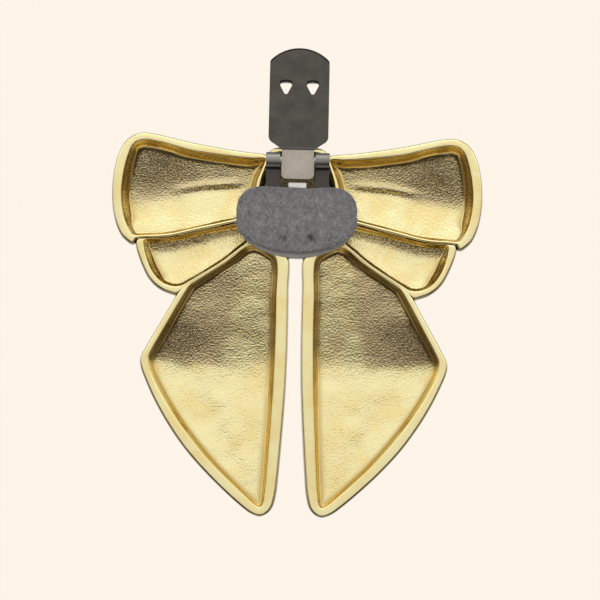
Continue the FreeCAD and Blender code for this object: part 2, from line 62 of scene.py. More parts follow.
from typing import Callable, Sequence

import bmesh
import bpy
import numpy as np
from mathutils import Matrix, Vector
from mathutils.geometry import delaunay_2d_cdt

LOG = logging.getLogger("clip_bow")
MM = 0.001
CAD_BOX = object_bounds()

Point = tuple[float, float]
Line = tuple[Point, ...]                     # places or stops in order
Triple = tuple[float, float, float]          # a colour, a place or a scale
Relief = Callable[[np.ndarray], np.ndarray]  # a number for each place (x, z)


# --- curves and sheets ------------------------------------------------------------------

TINY = 1e-6          # places nearer than this, in millimetres, count as one
SPAN_POINTS = 12     # points of a curve between two of its chosen places
LEAST_POINTS = 12    # fewest points of a sampled outline
ROW_SHARE = 0.866    # height of an equal-sided triangle with sides of 1
BATCH = 2000         # places that are measured at a time


class Side(Enum):
    """The two halves of the bow."""

    LEFT = 1
    RIGHT = -1


def smooth_step(low: float, high: float, values: np.ndarray) -> np.ndarray:
    """Rise smoothly from 0 at `low` to 1 at `high`.

    Args:
        low: Where the rise begins.
        high: Where it ends; it may be below `low` for a fall.
        values: Places to read.

    Returns:
        One weight for each value.
    """
    part = np.clip((values - low) / (high - low), 0.0, 1.0)
    return part * part * (3.0 - 2.0 * part)


def ridge(distance: np.ndarray, width: float) -> np.ndarray:
    """A smooth ridge of height 1 whose flanks fall off over `width`."""
    return np.exp(-(distance / width) ** 2)


def knotted_line(points: np.ndarray, places: Sequence[Point]) -> np.ndarray:
    """Height of a bent line through several places, in order of x, at each point's x."""
    xs, zs = zip(*places)
    return np.interp(points[:, 0], xs, zs)


def upright_line(points: np.ndarray, places: Sequence[Point]) -> np.ndarray:
    """The x of a bent line through several places, in order of z, at each point's z."""
    xs, zs = zip(*places)
    return np.interp(points[:, 1], zs, xs)


def sided(relief: Relief, side: Side) -> Relief:
    """A relief drawn for the left half, read on either half."""
    return lambda places: relief(places * np.array([side.value, 1.0]))


@dataclass(frozen=True)
class Outline:
    """A smooth closed curve through a few chosen places in the bow's plane.

    Attributes:
        places: Places (x, z) in order round the curve.
    """

    places: Line

    @classmethod
    def symmetric(cls, half: Line) -> "Outline":
        """A curve that is the same on both sides of x = 0.

        Args:
            half: Its places from top to bottom; the first and the last are at x = 0.

        Returns:
            The whole curve.
        """
        return cls(half + tuple((-x, z) for x, z in reversed(half[1:-1])))

    def on(self, side: Side) -> "Outline":
        """The curve, drawn for the left half, as it lies on either half.

        Args:
            side: The half.

        Returns:
            The curve there.
        """
        if side is Side.LEFT:
            return self
        return Outline(tuple((-x, z) for x, z in reversed(self.places)))

    def sampled(self, spacing: float) -> np.ndarray:
        """Even points along the curve.

        Args:
            spacing: Distance between neighbours.

        Returns:
            Points (x, z), turning counter-clockwise.
        """
        anchor = np.array(self.places, float)
        turning = np.roll(anchor, -1, axis=0)
        area = np.sum(anchor[:, 0] * turning[:, 1] - turning[:, 0] * anchor[:, 1])
        if area < 0:
            anchor = anchor[::-1]
        dense = np.concatenate([
            self._span(*(anchor[(index + step) % len(anchor)] for step in (-1, 0, 1, 2)))
            for index in range(len(anchor))
        ])
        closed = np.vstack([dense, dense[:1]])
        travelled = np.concatenate([
            [0.0], np.cumsum(np.linalg.norm(np.diff(closed, axis=0), axis=1))])
        count = max(LEAST_POINTS, round(travelled[-1] / spacing))
        stops = np.linspace(0.0, travelled[-1], count, endpoint=False)
        return np.column_stack([
            np.interp(stops, travelled, closed[:, axis]) for axis in (0, 1)])

    @staticmethod
    def _span(before: np.ndarray, start: np.ndarray, end: np.ndarray,
              after: np.ndarray) -> np.ndarray:
        """The stretch of the centripetal curve between two neighbouring places.

        Args:
            before: The place before the stretch.
            start: Where it starts.
            end: Where it ends.
            after: The place after it.

        Returns:
            Its points, without the last.
        """
        knots = [0.0]
        for first, second in ((before, start), (start, end), (end, after)):
            knots.append(knots[-1] + max(np.linalg.norm(second - first), TINY) ** 0.5)
        t0, t1, t2, t3 = knots
        t = np.linspace(t1, t2, SPAN_POINTS, endpoint=False)[:, None]
        a1 = (t1 - t) / (t1 - t0) * before + (t - t0) / (t1 - t0) * start
        a2 = (t2 - t) / (t2 - t1) * start + (t - t1) / (t2 - t1) * end
        a3 = (t3 - t) / (t3 - t2) * end + (t - t2) / (t3 - t2) * after
        b1 = (t2 - t) / (t2 - t0) * a1 + (t - t0) / (t2 - t0) * a2
        b2 = (t3 - t) / (t3 - t1) * a2 + (t - t1) / (t3 - t1) * a3
        return (t2 - t) / (t2 - t1) * b1 + (t - t1) / (t2 - t1) * b2


class Border:
    """A sampled outline that measures how far places lie inside it."""

    def __init__(self, outline: Outline, spacing: float) -> None:
        """Sample the outline.

        Args:
            outline: The curve.
            spacing: Distance between its samples.
        """
        self.points = outline.sampled(spacing)
        following = np.roll(self.points, -1, axis=0)
        before = np.roll(self.points, 1, axis=0)
        along = following - before
        along /= np.linalg.norm(along, axis=1)[:, None]
        self.inward = np.column_stack([-along[:, 1], along[:, 0]])

    def widened(self, distance: float) -> "Border":
        """The same border with every sample moved outwards.

        Args:
            distance: How far they move.

        Returns:
            The wider border.
        """
        wider = copy.copy(self)
        wider.points = self.points - self.inward * distance
        return wider

    def depth(self, places: np.ndarray) -> np.ndarray:
        """Distance of each place from the curve, positive inside it.

        Args:
            places: Places (x, z).

        Returns:
            One distance for each place.
        """
        start = self.points
        span = np.roll(start, -1, axis=0) - start
        length = np.sum(span * span, axis=1)
        z0, z1 = start[:, 1], start[:, 1] + span[:, 1]
        result = np.empty(len(places))
        for low in range(0, len(places), BATCH):
            part = places[low:low + BATCH]
            offset = part[:, None, :] - start[None, :, :]
            share = np.clip(np.sum(offset * span, axis=2) / length, 0.0, 1.0)
            gap = offset - share[:, :, None] * span
            nearest = np.sqrt(np.min(np.sum(gap * gap, axis=2), axis=1))
            level = part[:, 1][:, None]
            crosses = (z0 > level) != (z1 > level)
            with np.errstate(divide="ignore", invalid="ignore"):
                at = start[:, 0] + (level - z0) / (z1 - z0) * span[:, 0]
            inside = np.sum(crosses & (part[:, 0][:, None] < at), axis=1) % 2 == 1
            result[low:low + BATCH] = np.where(inside, nearest, -nearest)
        return result

    def ring(self, distance: float) -> np.ndarray:
        """The samples moved inwards, without those that a tight corner would fold over.

        Args:
            distance: How far they move; a negative distance moves them outwards.

        Returns:
            The samples that are left.
        """
        moved = self.points + self.inward * distance
        allowance = 0.02 + 0.03 * abs(distance)
        return moved[np.abs(self.depth(moved) - distance) < allowance]

    def rings(self, distances: Sequence[float]) -> list[np.ndarray]:
        """One ring for each distance."""
        return [self.ring(distance) for distance in distances]


def grid_inside(border: Border, step: float, margin: float) -> np.ndarray:
    """A triangular grid of places that lie well inside a border.

    Args:
        border: The border.
        step: Distance between neighbours.
        margin: Least distance from the border.

    Returns:
        Places (x, z).
    """
    low, high = border.points.min(axis=0), border.points.max(axis=0)
    rows = np.arange(low[1], high[1], step * ROW_SHARE)
    columns = np.arange(low[0], high[0], step)
    shift = (np.arange(len(rows)) % 2) * step / 2
    xs = columns[None, :] + shift[:, None]
    places = np.column_stack([xs.ravel(), np.repeat(rows, len(columns))])
    return places[border.depth(places) > margin]


def triangulated(border: Border, inner: np.ndarray) -> tuple[np.ndarray, list[list[int]]]:
    """Join the border's samples and the inner places into triangles.

    Args:
        border: The border; its samples come first in the result, in order.
        inner: Places inside it.

    Returns:
        All places, and the triangles, counter-clockwise.
    """
    places = np.vstack([border.points, inner])
    count = len(border.points)
    edges = [(index, (index + 1) % count) for index in range(count)]
    made = delaunay_2d_cdt([Vector(place) for place in places], edges, [], 1, TINY)
    coordinates, triangles, origins = made[0], made[2], made[3]
    kept = sorted(
        (min(sources) if sources else len(places) + index, index)
        for index, sources in enumerate(origins))
    new_index = {index: rank for rank, (_, index) in enumerate(kept)}
    result = np.array([coordinates[index][:] for _, index in kept], float)
    return result, [[new_index[corner] for corner in triangle] for triangle in triangles]


def linked(name: str, data: bpy.types.ID) -> bpy.types.Object:
    """Put new data into the scene.

    Args:
        name: The object's name.
        data: Its mesh, lamp or camera.

    Returns:
        The new object, at the origin.
    """
    made = bpy.data.objects.new(name, data)
    bpy.context.scene.collection.objects.link(made)
    return made


class MeshMaker:
    """Collects shells of places and faces and turns them into one object."""

    def __init__(self) -> None:
        """Start with nothing."""
        self.places: list[np.ndarray] = []
        self.grain: list[np.ndarray] = []
        self.painted_shade: list[np.ndarray] = []
        self.faces: list[list[int]] = []
        self.count = 0

    def add(self, places: np.ndarray, faces: Sequence[Sequence[int]],
            grain: np.ndarray | None = None, painted_shade: np.ndarray | None = None) -> int:
        """Add a shell.

        Args:
            places: Its points (x, y, z).
            faces: Its faces, counted from its own first point.
            grain: How rough each point is cast, 0 if left out.
            painted_shade: How much painted shade each point gets, 0 if left out.

        Returns:
            The number of its first point.
        """
        first = self.count
        self.places.append(places)
        self.grain.append(np.zeros(len(places)) if grain is None else grain)
        self.painted_shade.append(np.zeros(len(places)) if painted_shade is None else painted_shade)
        self.faces.extend([corner + first for corner in face] for face in faces)
        self.count += len(places)
        return first

    def layer(self, plane: np.ndarray, level: float | np.ndarray,
              faces: Sequence[Sequence[int]] = (), grain: np.ndarray | None = None,
              painted_shade: np.ndarray | None = None) -> int:
        """Add a sheet, or a ring without faces, drawn in the bow's plane.

        Args:
            plane: Its points (x, z).
            level: The Y of all of them, or of each.
            faces: Its faces.
            grain: How rough each point is cast.
            painted_shade: How much painted shade each point gets.

        Returns:
            The number of its first point.
        """
        levels = np.broadcast_to(level, (len(plane),))
        return self.add(np.column_stack([plane[:, 0], levels, plane[:, 1]]), faces, grain, painted_shade)

    def bridge(self, first: int, second: int, count: int) -> None:
        """Join two rings of points with quads.

        Args:
            first: The first point of one ring.
            second: The first point of the other.
            count: How many points each of them has.
        """
        self.faces.extend(
            [first + index, first + (index + 1) % count,
             second + (index + 1) % count, second + index]
            for index in range(count))

    def finish(self, name: str) -> bpy.types.Object:
        """Make the object, smooth shaded, with its faces pointing outwards.

        Args:
            name: The piece's name.

        Returns:
            The new object, at the origin.
        """
        mesh = bpy.data.meshes.new(name)
        mesh.from_pydata((np.vstack(self.places) * MM).tolist(), [], self.faces)
        # the second mark carries painted shade: corners, outer walls, the knot's hollow and the felt's
        # dents
        for word, values in (("grain", self.grain), ("painted_shade", self.painted_shade)):
            marks = mesh.attributes.new(word, "FLOAT", "POINT")
            marks.data.foreach_set("value", np.concatenate(values).astype(np.float32))
        shape = bmesh.new()
        shape.from_mesh(mesh)
        bmesh.ops.recalc_face_normals(shape, faces=shape.faces)
        shape.to_mesh(mesh)
        shape.free()
        mesh.shade_smooth()
        return linked(name, mesh)


# --- the casting ------------------------------------------------------------------------

# Where a lobe's mesh has rings of points, in millimetres from the outline that they follow.
RIM_RINGS = (0.05, 0.13, 0.26, 0.44)
MOUTH_RINGS = (-0.3, -0.17, -0.08, -0.02)
WALL_RINGS = (0.03, 0.08, 0.16, 0.28, 0.44, 0.65, 0.92, 1.25, 1.65, 2.1)
FRONT_RINGS = (0.05, 0.15, 0.32, 0.6, 1.0, 1.5, 2.2, 3.0)
SIDE_RINGS = ((1.0, 0.55), (2.0, 0.9))  # distance in front of the rim, share of the flare
SIDE_DEPTH = 3.0                        # where the outer wall ends and the front begins
FLOOR_MARGIN = 2.4                      # where the floor's own grid begins
FRONT_MARGIN = 3.4                      # where the front's own grid begins
FRONT_GRID = 1.7                        # the front's grid against the floor's
WALL_CURVE = (2.3, 1.7)                 # powers that round the inner wall's top and foot
SWELL = 2.1                             # power that rounds the front's edge


@dataclass(frozen=True)
class Lobe:
    """One hollow part of the bow: a wall around a hollow, closed by a puffed front.

    Attributes:
        outer: Outline of the wall's outer face at the rim.
        mouth: Outline of the hollow at the rim.
        floor: Depth of the hollow's floor below the rim.
        fold: Height that the front adds to the floor's shape.
        rim: Level of the rim along Y.
        wall_run: How far the inner wall spreads before it meets the floor.
        outer_round: Radius of the rim's outer edge.
        inner_round: Radius of the rim's inner edge.
        shell: Thickness between the floor and the front.
        puff: How far in from its edge the front reaches its full height.
        flare: How far the outer wall spreads in front of the rim.
        grid: Spacing of the floor's points.
        spacing: Spacing of the points along its outlines.
        coarse: How coarse the cast grain of the floor is, from 0 to 1; the coarse parts also get painted
            shade.
        steep: Share of the wall's run that is left where the wall is steeper.
        edge_shade: How much painted shade the outer wall gets; above 1 it turns towards the deep shade.
        dark: Whether the whole hollow gets the deep painted shade.
    """

    outer: Outline
    mouth: Outline
    floor: Relief
    fold: Relief | None = None
    rim: float = 3.1
    wall_run: float = 1.75
    outer_round: float = 0.42
    inner_round: float = 0.28
    shell: float = 1.7
    puff: float = 5.0
    flare: float = 0.28
    grid: float = 0.45
    spacing: float = 0.3
    coarse: Relief | None = None
    steep: Relief | None = None
    edge_shade: float = 1.75
    dark: bool = False

    def on(self, side: Side) -> "Lobe":
        """This lobe, drawn for the left half, as it lies on either half.

        Args:
            side: The half.

        Returns:
            The lobe there.
        """
        reliefs = {name: sided(getattr(self, name), side)
                   for name in ("floor", "fold", "coarse", "steep") if getattr(self, name)}
        return replace(self, outer=self.outer.on(side), mouth=self.mouth.on(side), **reliefs)

    def spread(self, places: np.ndarray) -> np.ndarray:
        """How far the inner wall spreads.

        Args:
            places: Places (x, z).

        Returns:
            The wall's run at each place.
        """
        if self.steep is None:
            return np.full(len(places), self.wall_run)
        return self.wall_run * self.steep(places)

    def rear_level(self, places: np.ndarray, outer: Border, mouth: Border) -> np.ndarray:
        """Level of the rim, the inner wall and the floor.

        Args:
            places: Places (x, z) inside the outer outline.
            outer: The outer border.
            mouth: The hollow's border.

        Returns:
            The Y of each place.
        """
        from_edge = np.clip(outer.depth(places), 0.0, None)
        inside = mouth.depth(places)
        level = np.full(len(places), self.rim)
        short = np.clip(self.outer_round - from_edge, 0.0, None)
        level += self.outer_round - np.sqrt(self.outer_round ** 2 - short ** 2)
        short = np.clip(self.inner_round + np.minimum(inside, 0.0), 0.0, None)
        level += self.inner_round - np.sqrt(self.inner_round ** 2 - short ** 2)
        run = np.clip(1.0 - np.clip(inside, 0.0, None) / self.spread(places), 0.0, 1.0)
        fall = (1.0 - run ** WALL_CURVE[0]) ** (1.0 / WALL_CURVE[1])
        return level + np.where(inside > 0.0, fall, 0.0) * (self.floor(places) - self.inner_round)

    def front_level(self, places: np.ndarray, border: Border, side: float) -> np.ndarray:
        """Level of the puffed front.

        Args:
            places: Places (x, z) inside the flared outline.
            border: The flared border.
            side: Level where the front leaves the outer wall.

        Returns:
            The Y of each place.
        """
        inside = np.clip(border.depth(places) / self.puff, 0.0, 1.0)
        rise = (1.0 - (1.0 - inside) ** SWELL) ** (1.0 / SWELL)
        height = self.rim + self.floor(places) + self.shell - side
        if self.fold is not None:
            height = height + self.fold(places)
        return side + rise * height

    def build(self, maker: MeshMaker) -> None:
        """Add this lobe's closed shell to the mesh.

        Args:
            maker: Where the shell goes.
        """
        outer = Border(self.outer, self.spacing)
        count = len(outer.points)
        previous = self._rear(maker, outer)
        for distance, share in SIDE_RINGS:
            ring = outer.points - outer.inward * (self.flare * share)
            # the outer wall's rings get painted shade
            first = maker.layer(ring, self.rim + distance, painted_shade=np.full(count, self.edge_shade))
            maker.bridge(previous, first, count)
            previous = first
        maker.bridge(previous, self._front(maker, outer), count)

    def _rear(self, maker: MeshMaker, outer: Border) -> int:
        """Add the rim, the inner wall and the floor.

        Args:
            maker: Where they go.
            outer: The outer border.

        Returns:
            The number of the first point, where the outer border's samples begin.
        """
        mouth = Border(self.mouth, self.spacing)
        near_mouth = [ring[outer.depth(ring) > 0.5] for ring in mouth.rings(MOUTH_RINGS)]
        inner = np.vstack(
            outer.rings(RIM_RINGS) + near_mouth + [mouth.points] + mouth.rings(WALL_RINGS)
            + [grid_inside(mouth, self.grid, FLOOR_MARGIN)])
        inner = inner[outer.depth(inner) > 0.02]
        rear, faces = triangulated(outer, inner)
        run = mouth.depth(rear) / self.spread(rear)
        grain = smooth_step(0.75, 1.4, run)
        if self.coarse is not None:
            grain *= self.coarse(rear)
        # painted shade along the inner wall, over the whole of a dark hollow, and along the outer edge
        painted_shade = smooth_step(0.0, 0.3, run)
        painted_shade *= 2.0 if self.dark else smooth_step(1.7, 0.55, run)
        painted_shade = np.maximum(painted_shade, smooth_step(0.14, 0.0, outer.depth(rear)))
        return maker.layer(rear, self.rear_level(rear, outer, mouth), faces, grain, painted_shade)

    def _front(self, maker: MeshMaker, outer: Border) -> int:
        """Add the puffed front.

        Args:
            maker: Where it goes.
            outer: The outer border.

        Returns:
            The number of the first point, where the border's samples begin.
        """
        brim = outer.widened(self.flare)
        inner = np.vstack(
            brim.rings(FRONT_RINGS) + [grid_inside(brim, self.grid * FRONT_GRID, FRONT_MARGIN)])
        front, faces = triangulated(brim, inner)
        levels = self.front_level(front, brim, self.rim + SIDE_DEPTH)
        return maker.layer(front, levels, [face[::-1] for face in faces])


@dataclass(frozen=True)
class BowCasting:
    """The whole casting, hollow from behind.  Everything but the knot is drawn for the left half.

    Attributes:
        node: CAD node that it stands for.
        body: Body that it rides on.
        upper_outer: Outer outline of an upper loop.
        upper_mouth: Outline of an upper loop's hollow.
        lower_outer: Outer outline of a lower loop.
        lower_mouth: Outline of a lower loop's hollow.
        tail_outer: Outer outline of a tail.
        tail_mouth: Outline of a tail's hollow.
        knot_outer: Outer outline of the knot.
        knot_mouth: Outline of the knot's hollow.
        upper_ridge: Ridge below an upper loop.
        valley: Line that runs out from the knot along an upper loop's floor.
        lower_ridges: Ridges above and below a lower loop.
        gully: Lowest line of a lower loop's floor.
        outer_edge: Lower outer edge of a tail.
        cross_fold: Fold across a tail's floor.
        crease: Crease that slants up a tail's floor.
        streak: Line along which the lower half of a tail's floor is a little deeper.
        upper_depth: Depth of an upper loop's floor along the valley.
        lower_depth: Depth of a lower loop's floor along the gully.
        tail_depth: Depth of a tail's floor at the cross fold.
        knot_depth: Depth of the knot's trough.
    """

    node: str = "bow_casting"
    body: str = "bow"
    upper_outer: Outline = Outline((
        (-6.0, 13.2), (-6.9, 13.75), (-10.5, 14.15), (-15.0, 14.7), (-20.0, 15.5),
        (-24.0, 16.25), (-28.0, 17.15), (-31.0, 17.75), (-33.2, 17.9), (-35.0, 17.4),
        (-36.7, 16.1), (-38.0, 13.8), (-38.9, 10.6), (-39.35, 6.6), (-39.2, 2.4),
        (-38.5, -1.1), (-37.3, -3.8), (-36.0, -5.1), (-35.1, -5.65), (-34.6, -5.5),
        (-34.1, -4.75), (-33.2, -4.45), (-30.0, -4.35), (-27.0, -4.05), (-23.0, -3.15),
        (-19.0, -2.2), (-15.0, -1.2), (-11.0, -0.2), (-8.6, 0.45), (-8.35, 3.5), (-8.1, 6.5),
        (-7.6, 8.6), (-6.8, 10.4), (-6.15, 11.9)))
    upper_mouth: Outline = Outline((
        (-6.9, 12.7), (-10.0, 12.85), (-14.0, 13.2), (-19.0, 13.75), (-23.0, 14.35),
        (-27.0, 15.35), (-30.0, 16.05), (-32.6, 16.35), (-34.3, 15.95), (-35.5, 14.7),
        (-36.4, 12.3), (-37.1, 9.2), (-37.45, 5.6), (-37.25, 2.2), (-36.5, -0.9),
        (-35.5, -2.9), (-34.8, -3.75), (-34.2, -3.95), (-32.0, -3.8), (-29.0, -3.65),
        (-26.0, -3.2), (-22.0, -2.2), (-18.0, -1.25), (-14.0, -0.3), (-11.0, 0.5),
        (-9.4, 1.0), (-9.15, 4.0), (-8.85, 6.6), (-8.3, 8.9), (-7.5, 10.7), (-6.95, 11.7)))
    lower_outer: Outline = Outline((
        (-8.4, 0.2), (-12.0, -0.7), (-17.0, -1.95), (-22.0, -3.15), (-27.0, -4.2),
        (-31.0, -4.45), (-33.0, -4.5), (-33.75, -4.6), (-34.1, -5.3), (-33.9, -6.8),
        (-33.4, -8.4), (-32.5, -10.6), (-31.4, -12.7), (-30.0, -14.3), (-28.2, -15.5),
        (-26.5, -16.1), (-25.3, -16.35), (-24.3, -15.75), (-21.0, -13.3), (-17.5, -11.0),
        (-14.0, -8.6), (-11.0, -6.0), (-8.9, -4.3), (-8.1, -2.0)))
    lower_mouth: Outline = Outline((
        (-9.3, -0.2), (-13.0, -1.1), (-18.0, -2.2), (-23.0, -3.4), (-27.0, -4.3),
        (-30.0, -4.6), (-32.0, -4.75), (-32.4, -5.3), (-32.2, -7.2), (-31.6, -9.3),
        (-30.5, -11.5), (-29.1, -13.2), (-27.5, -14.25), (-25.8, -14.6), (-24.5, -14.45),
        (-22.5, -13.35), (-19.0, -11.2), (-15.5, -8.9), (-12.5, -6.5), (-10.3, -4.75),
        (-9.2, -3.4), (-9.0, -1.6)))
    tail_outer: Outline = Outline((
        (-24.0, -14.9), (-24.9, -16.0), (-26.5, -18.9), (-28.5, -22.4), (-30.3, -25.5),
        (-31.7, -28.1), (-32.45, -29.6), (-32.65, -30.7), (-32.4, -32.2), (-31.3, -35.0),
        (-29.3, -39.2), (-26.5, -43.95), (-23.0, -48.85), (-18.85, -53.5), (-14.4, -57.8),
        (-10.65, -61.05), (-8.4, -62.65), (-6.55, -63.2), (-5.1, -62.55), (-4.1, -61.3),
        (-3.4, -58.6), (-3.0, -54.5), (-2.55, -48.5), (-2.1, -41.5), (-1.75, -34.0),
        (-1.6, -25.0), (-1.65, -15.0), (-1.75, -8.0), (-3.5, -5.5), (-7.0, -4.0),
        (-10.5, -5.35), (-14.0, -8.2), (-18.0, -10.9), (-21.5, -13.2), (-23.2, -14.3)))
    tail_mouth: Outline = Outline((
        (-22.3, -14.35), (-23.2, -15.7), (-25.0, -18.8), (-27.0, -22.4), (-28.8, -25.6),
        (-30.2, -28.2), (-30.8, -29.6), (-30.85, -30.7), (-30.6, -32.3), (-29.25, -35.4),
        (-26.85, -39.55), (-23.85, -43.95), (-20.45, -48.25), (-16.65, -52.5), (-12.8, -56.2),
        (-9.55, -59.15), (-7.6, -60.8), (-6.65, -61.25), (-6.0, -60.7), (-5.65, -58.5),
        (-5.3, -54.5), (-4.95, -49.0), (-4.55, -42.0), (-4.25, -35.0), (-4.05, -26.0),
        (-4.05, -17.0), (-4.25, -8.5), (-6.0, -6.9), (-8.6, -5.6), (-10.4, -5.9),
        (-14.0, -8.75), (-18.0, -11.45), (-20.7, -13.25)))
    knot_outer: Outline = Outline.symmetric((
        (0.0, 15.55), (-3.6, 15.45), (-5.3, 15.0), (-6.3, 14.1), (-6.75, 13.0),
        (-7.25, 11.6), (-7.9, 10.0), (-8.5, 8.3), (-8.9, 6.4), (-9.1, 3.5), (-9.0, 0.0),
        (-8.6, -3.0), (-7.2, -5.8), (-4.6, -7.5), (0.0, -8.0)))
    knot_mouth: Outline = Outline.symmetric((
        (0.0, 14.4), (-3.6, 14.35), (-4.9, 14.0), (-5.7, 13.2), (-6.3, 12.0), (-7.0, 10.4),
        (-7.65, 8.5), (-8.1, 6.3), (-8.3, 3.5), (-8.2, 0.1), (-7.8, -2.6), (-6.6, -5.0),
        (-4.2, -6.6), (0.0, -7.1)))
    upper_ridge: Line = ((-34.0, -3.9), (-26.0, -3.4), (-9.0, 0.7))
    valley: Line = ((-36.0, 3.2), (-28.0, 5.0), (-20.0, 6.4), (-9.0, 7.2))
    lower_ridges: tuple[Line, Line] = (
        ((-32.0, -4.7), (-27.0, -4.3), (-9.0, -0.2)), ((-25.0, -14.9), (-9.0, -4.0)))
    gully: Line = ((-32.0, -7.6), (-26.0, -7.0), (-18.0, -4.7), (-9.0, -2.1))
    outer_edge: Line = ((-9.0, -61.0), (-23.5, -45.0), (-31.5, -31.0))
    cross_fold: Line = ((-31.0, -30.2), (-22.0, -31.0), (-15.3, -31.8), (-4.0, -31.0))
    crease: Line = ((-15.3, -32.0), (-13.2, -21.5), (-11.3, -8.0))
    streak: Line = ((-24.0, -35.0), (-18.0, -42.0), (-10.0, -57.0))
    upper_depth: float = 5.6
    lower_depth: float = 5.0
    tail_depth: float = 5.4
    knot_depth: float = 6.4

    def above_valley(self, places: np.ndarray) -> np.ndarray:
        """Height of each place above the valley of an upper loop."""
        return places[:, 1] - knotted_line(places, self.valley)

    def above_gully(self, places: np.ndarray) -> np.ndarray:
        """Height of each place above the lowest line of a lower loop."""
        return places[:, 1] - knotted_line(places, self.gully)

    def above_fold(self, places: np.ndarray) -> np.ndarray:
        """Height of each place above the cross fold of a tail."""
        return places[:, 1] - knotted_line(places, self.cross_fold)

    def beyond_crease(self, places: np.ndarray) -> np.ndarray:
        """How far each place lies outside the slanting crease of a tail."""
        return upright_line(places, self.crease) - places[:, 0]

    def upper_floor(self, places: np.ndarray) -> np.ndarray:
        """Floor of an upper loop: a valley with one pleat, rising at its outer end.

        Args:
            places: Places (x, z).

        Returns:
            The depth of each.
        """
        x = places[:, 0]
        above = self.above_valley(places)
        slope = np.where(above > 0, 0.215 + 0.13 * ridge(x + 28.0, 5.5), 0.24)
        depth = self.upper_depth - slope * (np.sqrt(above ** 2 + 7.0) - 2.6)
        depth -= 0.018 * np.clip(-31.0 - x, 0.0, None) ** 2  # shallower at the outer end
        depth -= 0.08 * np.clip(x + 18.0, 0.0, None)         # and towards the knot
        fading = smooth_step(-10.5, -15.0, x)
        pleat = ridge(above - 0.9, 0.75) * smooth_step(-28.0, -23.0, x) * fading
        dent = ridge(above + 0.2, 0.8) * smooth_step(-26.0, -21.0, x) * fading
        return depth - 0.32 * pleat + 0.14 * dent

    def upper_grain_and_shade(self, places: np.ndarray) -> np.ndarray:
        """Cast grain of an upper loop: coarse above the valley, where it also gets painted shade."""
        share = 0.24 + 0.16 * ridge(places[:, 0] + 27.5, 6.0)
        return 0.6 + share * smooth_step(-3.0, 2.0, self.above_valley(places))

    def upper_wall(self, places: np.ndarray) -> np.ndarray:
        """An upper loop's wall is steep along the ridge below it."""
        above = places[:, 1] - knotted_line(places, self.upper_ridge)
        return 0.34 + 0.66 * smooth_step(1.5, 4.5, above)

    def lower_floor(self, places: np.ndarray) -> np.ndarray:
        """Floor of a lower loop: deepest just below the upper loop's wall.

        Args:
            places: Places (x, z).

        Returns:
            The depth of each.
        """
        above = self.above_gully(places)
        slope = np.where(above > 0, 0.36, 0.22)
        return np.clip(self.lower_depth - slope * (np.sqrt(above ** 2 + 1.2) - 1.1), 1.8, None)

    def lower_grain_and_shade(self, places: np.ndarray) -> np.ndarray:
        """Cast grain of a lower loop: coarse along its upper side, where it also gets painted shade."""
        return 0.6 + 0.35 * smooth_step(-1.2, 1.0, self.above_gully(places))

    def lower_wall(self, places: np.ndarray) -> np.ndarray:
        """A lower loop's wall is steep along the ridges above and below it.

        Args:
            places: Places (x, z).

        Returns:
            The share of the wall's run that is left at each.
        """
        upper, lower = (knotted_line(places, line) for line in self.lower_ridges)
        along_lower = smooth_step(1.0, 3.5, places[:, 1] - lower)
        along_upper = smooth_step(0.6, 3.6, upper - places[:, 1])
        return 0.42 + 0.58 * along_lower * along_upper

    def tail_floor(self, places: np.ndarray) -> np.ndarray:
        """Floor of a tail: it rises from a cross fold to the tip and, in two facets, to the knot.

        Args:
            places: Places (x, z).

        Returns:
            The depth of each.
        """
        above, outside = self.above_fold(places), self.beyond_crease(places)
        bent = np.logaddexp(0.0, outside / 0.8) * 0.8
        upper = self.tail_depth - 0.102 * above - 0.15 * bent * smooth_step(-2.0, 12.0, above)
        from_streak = places[:, 1] - knotted_line(places, self.streak)
        lower = self.tail_depth + 0.142 * above + 0.17 * ridge(from_streak, 5.0)
        blend = 0.3  # how softly the two halves meet at the fold
        depth = -np.logaddexp(-upper / blend, -lower / blend) * blend
        return np.clip(depth, 1.3, None)

    def tail_grain_and_shade(self, places: np.ndarray) -> np.ndarray:
        """Cast grain of a tail: coarse in the outer facet, fine below the fold; the coarse parts also
        get painted shade.
        """
        above, outside = self.above_fold(places), self.beyond_crease(places)
        return 0.6 + smooth_step(-0.8, 1.0, above) * (0.1 + 0.3 * smooth_step(-1.0, 3.0, outside))

    def tail_wall(self, places: np.ndarray) -> np.ndarray:
        """A tail's wall is steeper along its lower outer side."""
        away = smooth_step(2.0, 5.0, places[:, 0] - upright_line(places, self.outer_edge))
        return 0.6 + np.maximum(0.4 * away, 0.25 * smooth_step(-31.0, -28.5, places[:, 1]))

    def knot_floor(self, places: np.ndarray) -> np.ndarray:
        """Floor of the knot: a deep trough."""
        return self.knot_depth - 0.03 * places[:, 0] ** 2 - 0.006 * (places[:, 1] - 4.0) ** 2

    @staticmethod
    def loop_fold(places: np.ndarray) -> np.ndarray:
        """Pleats that fan out from the knot across the front of a loop.

        Args:
            places: Places (x, z).

        Returns:
            The height of each.
        """
        x, z = places[:, 0], places[:, 1]
        fan = np.arctan2(z - 4.0, -x + 3.0)
        reach = smooth_step(-33.0, -10.0, x)
        pleats = 0.45 * np.cos(fan * 15.0) + 0.25 * np.cos(fan * 27.0 + 1.0)
        return reach * pleats

    @staticmethod
    def knot_fold(places: np.ndarray) -> np.ndarray:
        """Lengthwise creases of the knot's front, gathered at its middle."""
        x, z = places[:, 0], places[:, 1]
        return 2.0 - 0.012 * x ** 2 + 0.32 * np.cos(x * 1.75) * smooth_step(10.0, 2.0, np.abs(z - 4.0))

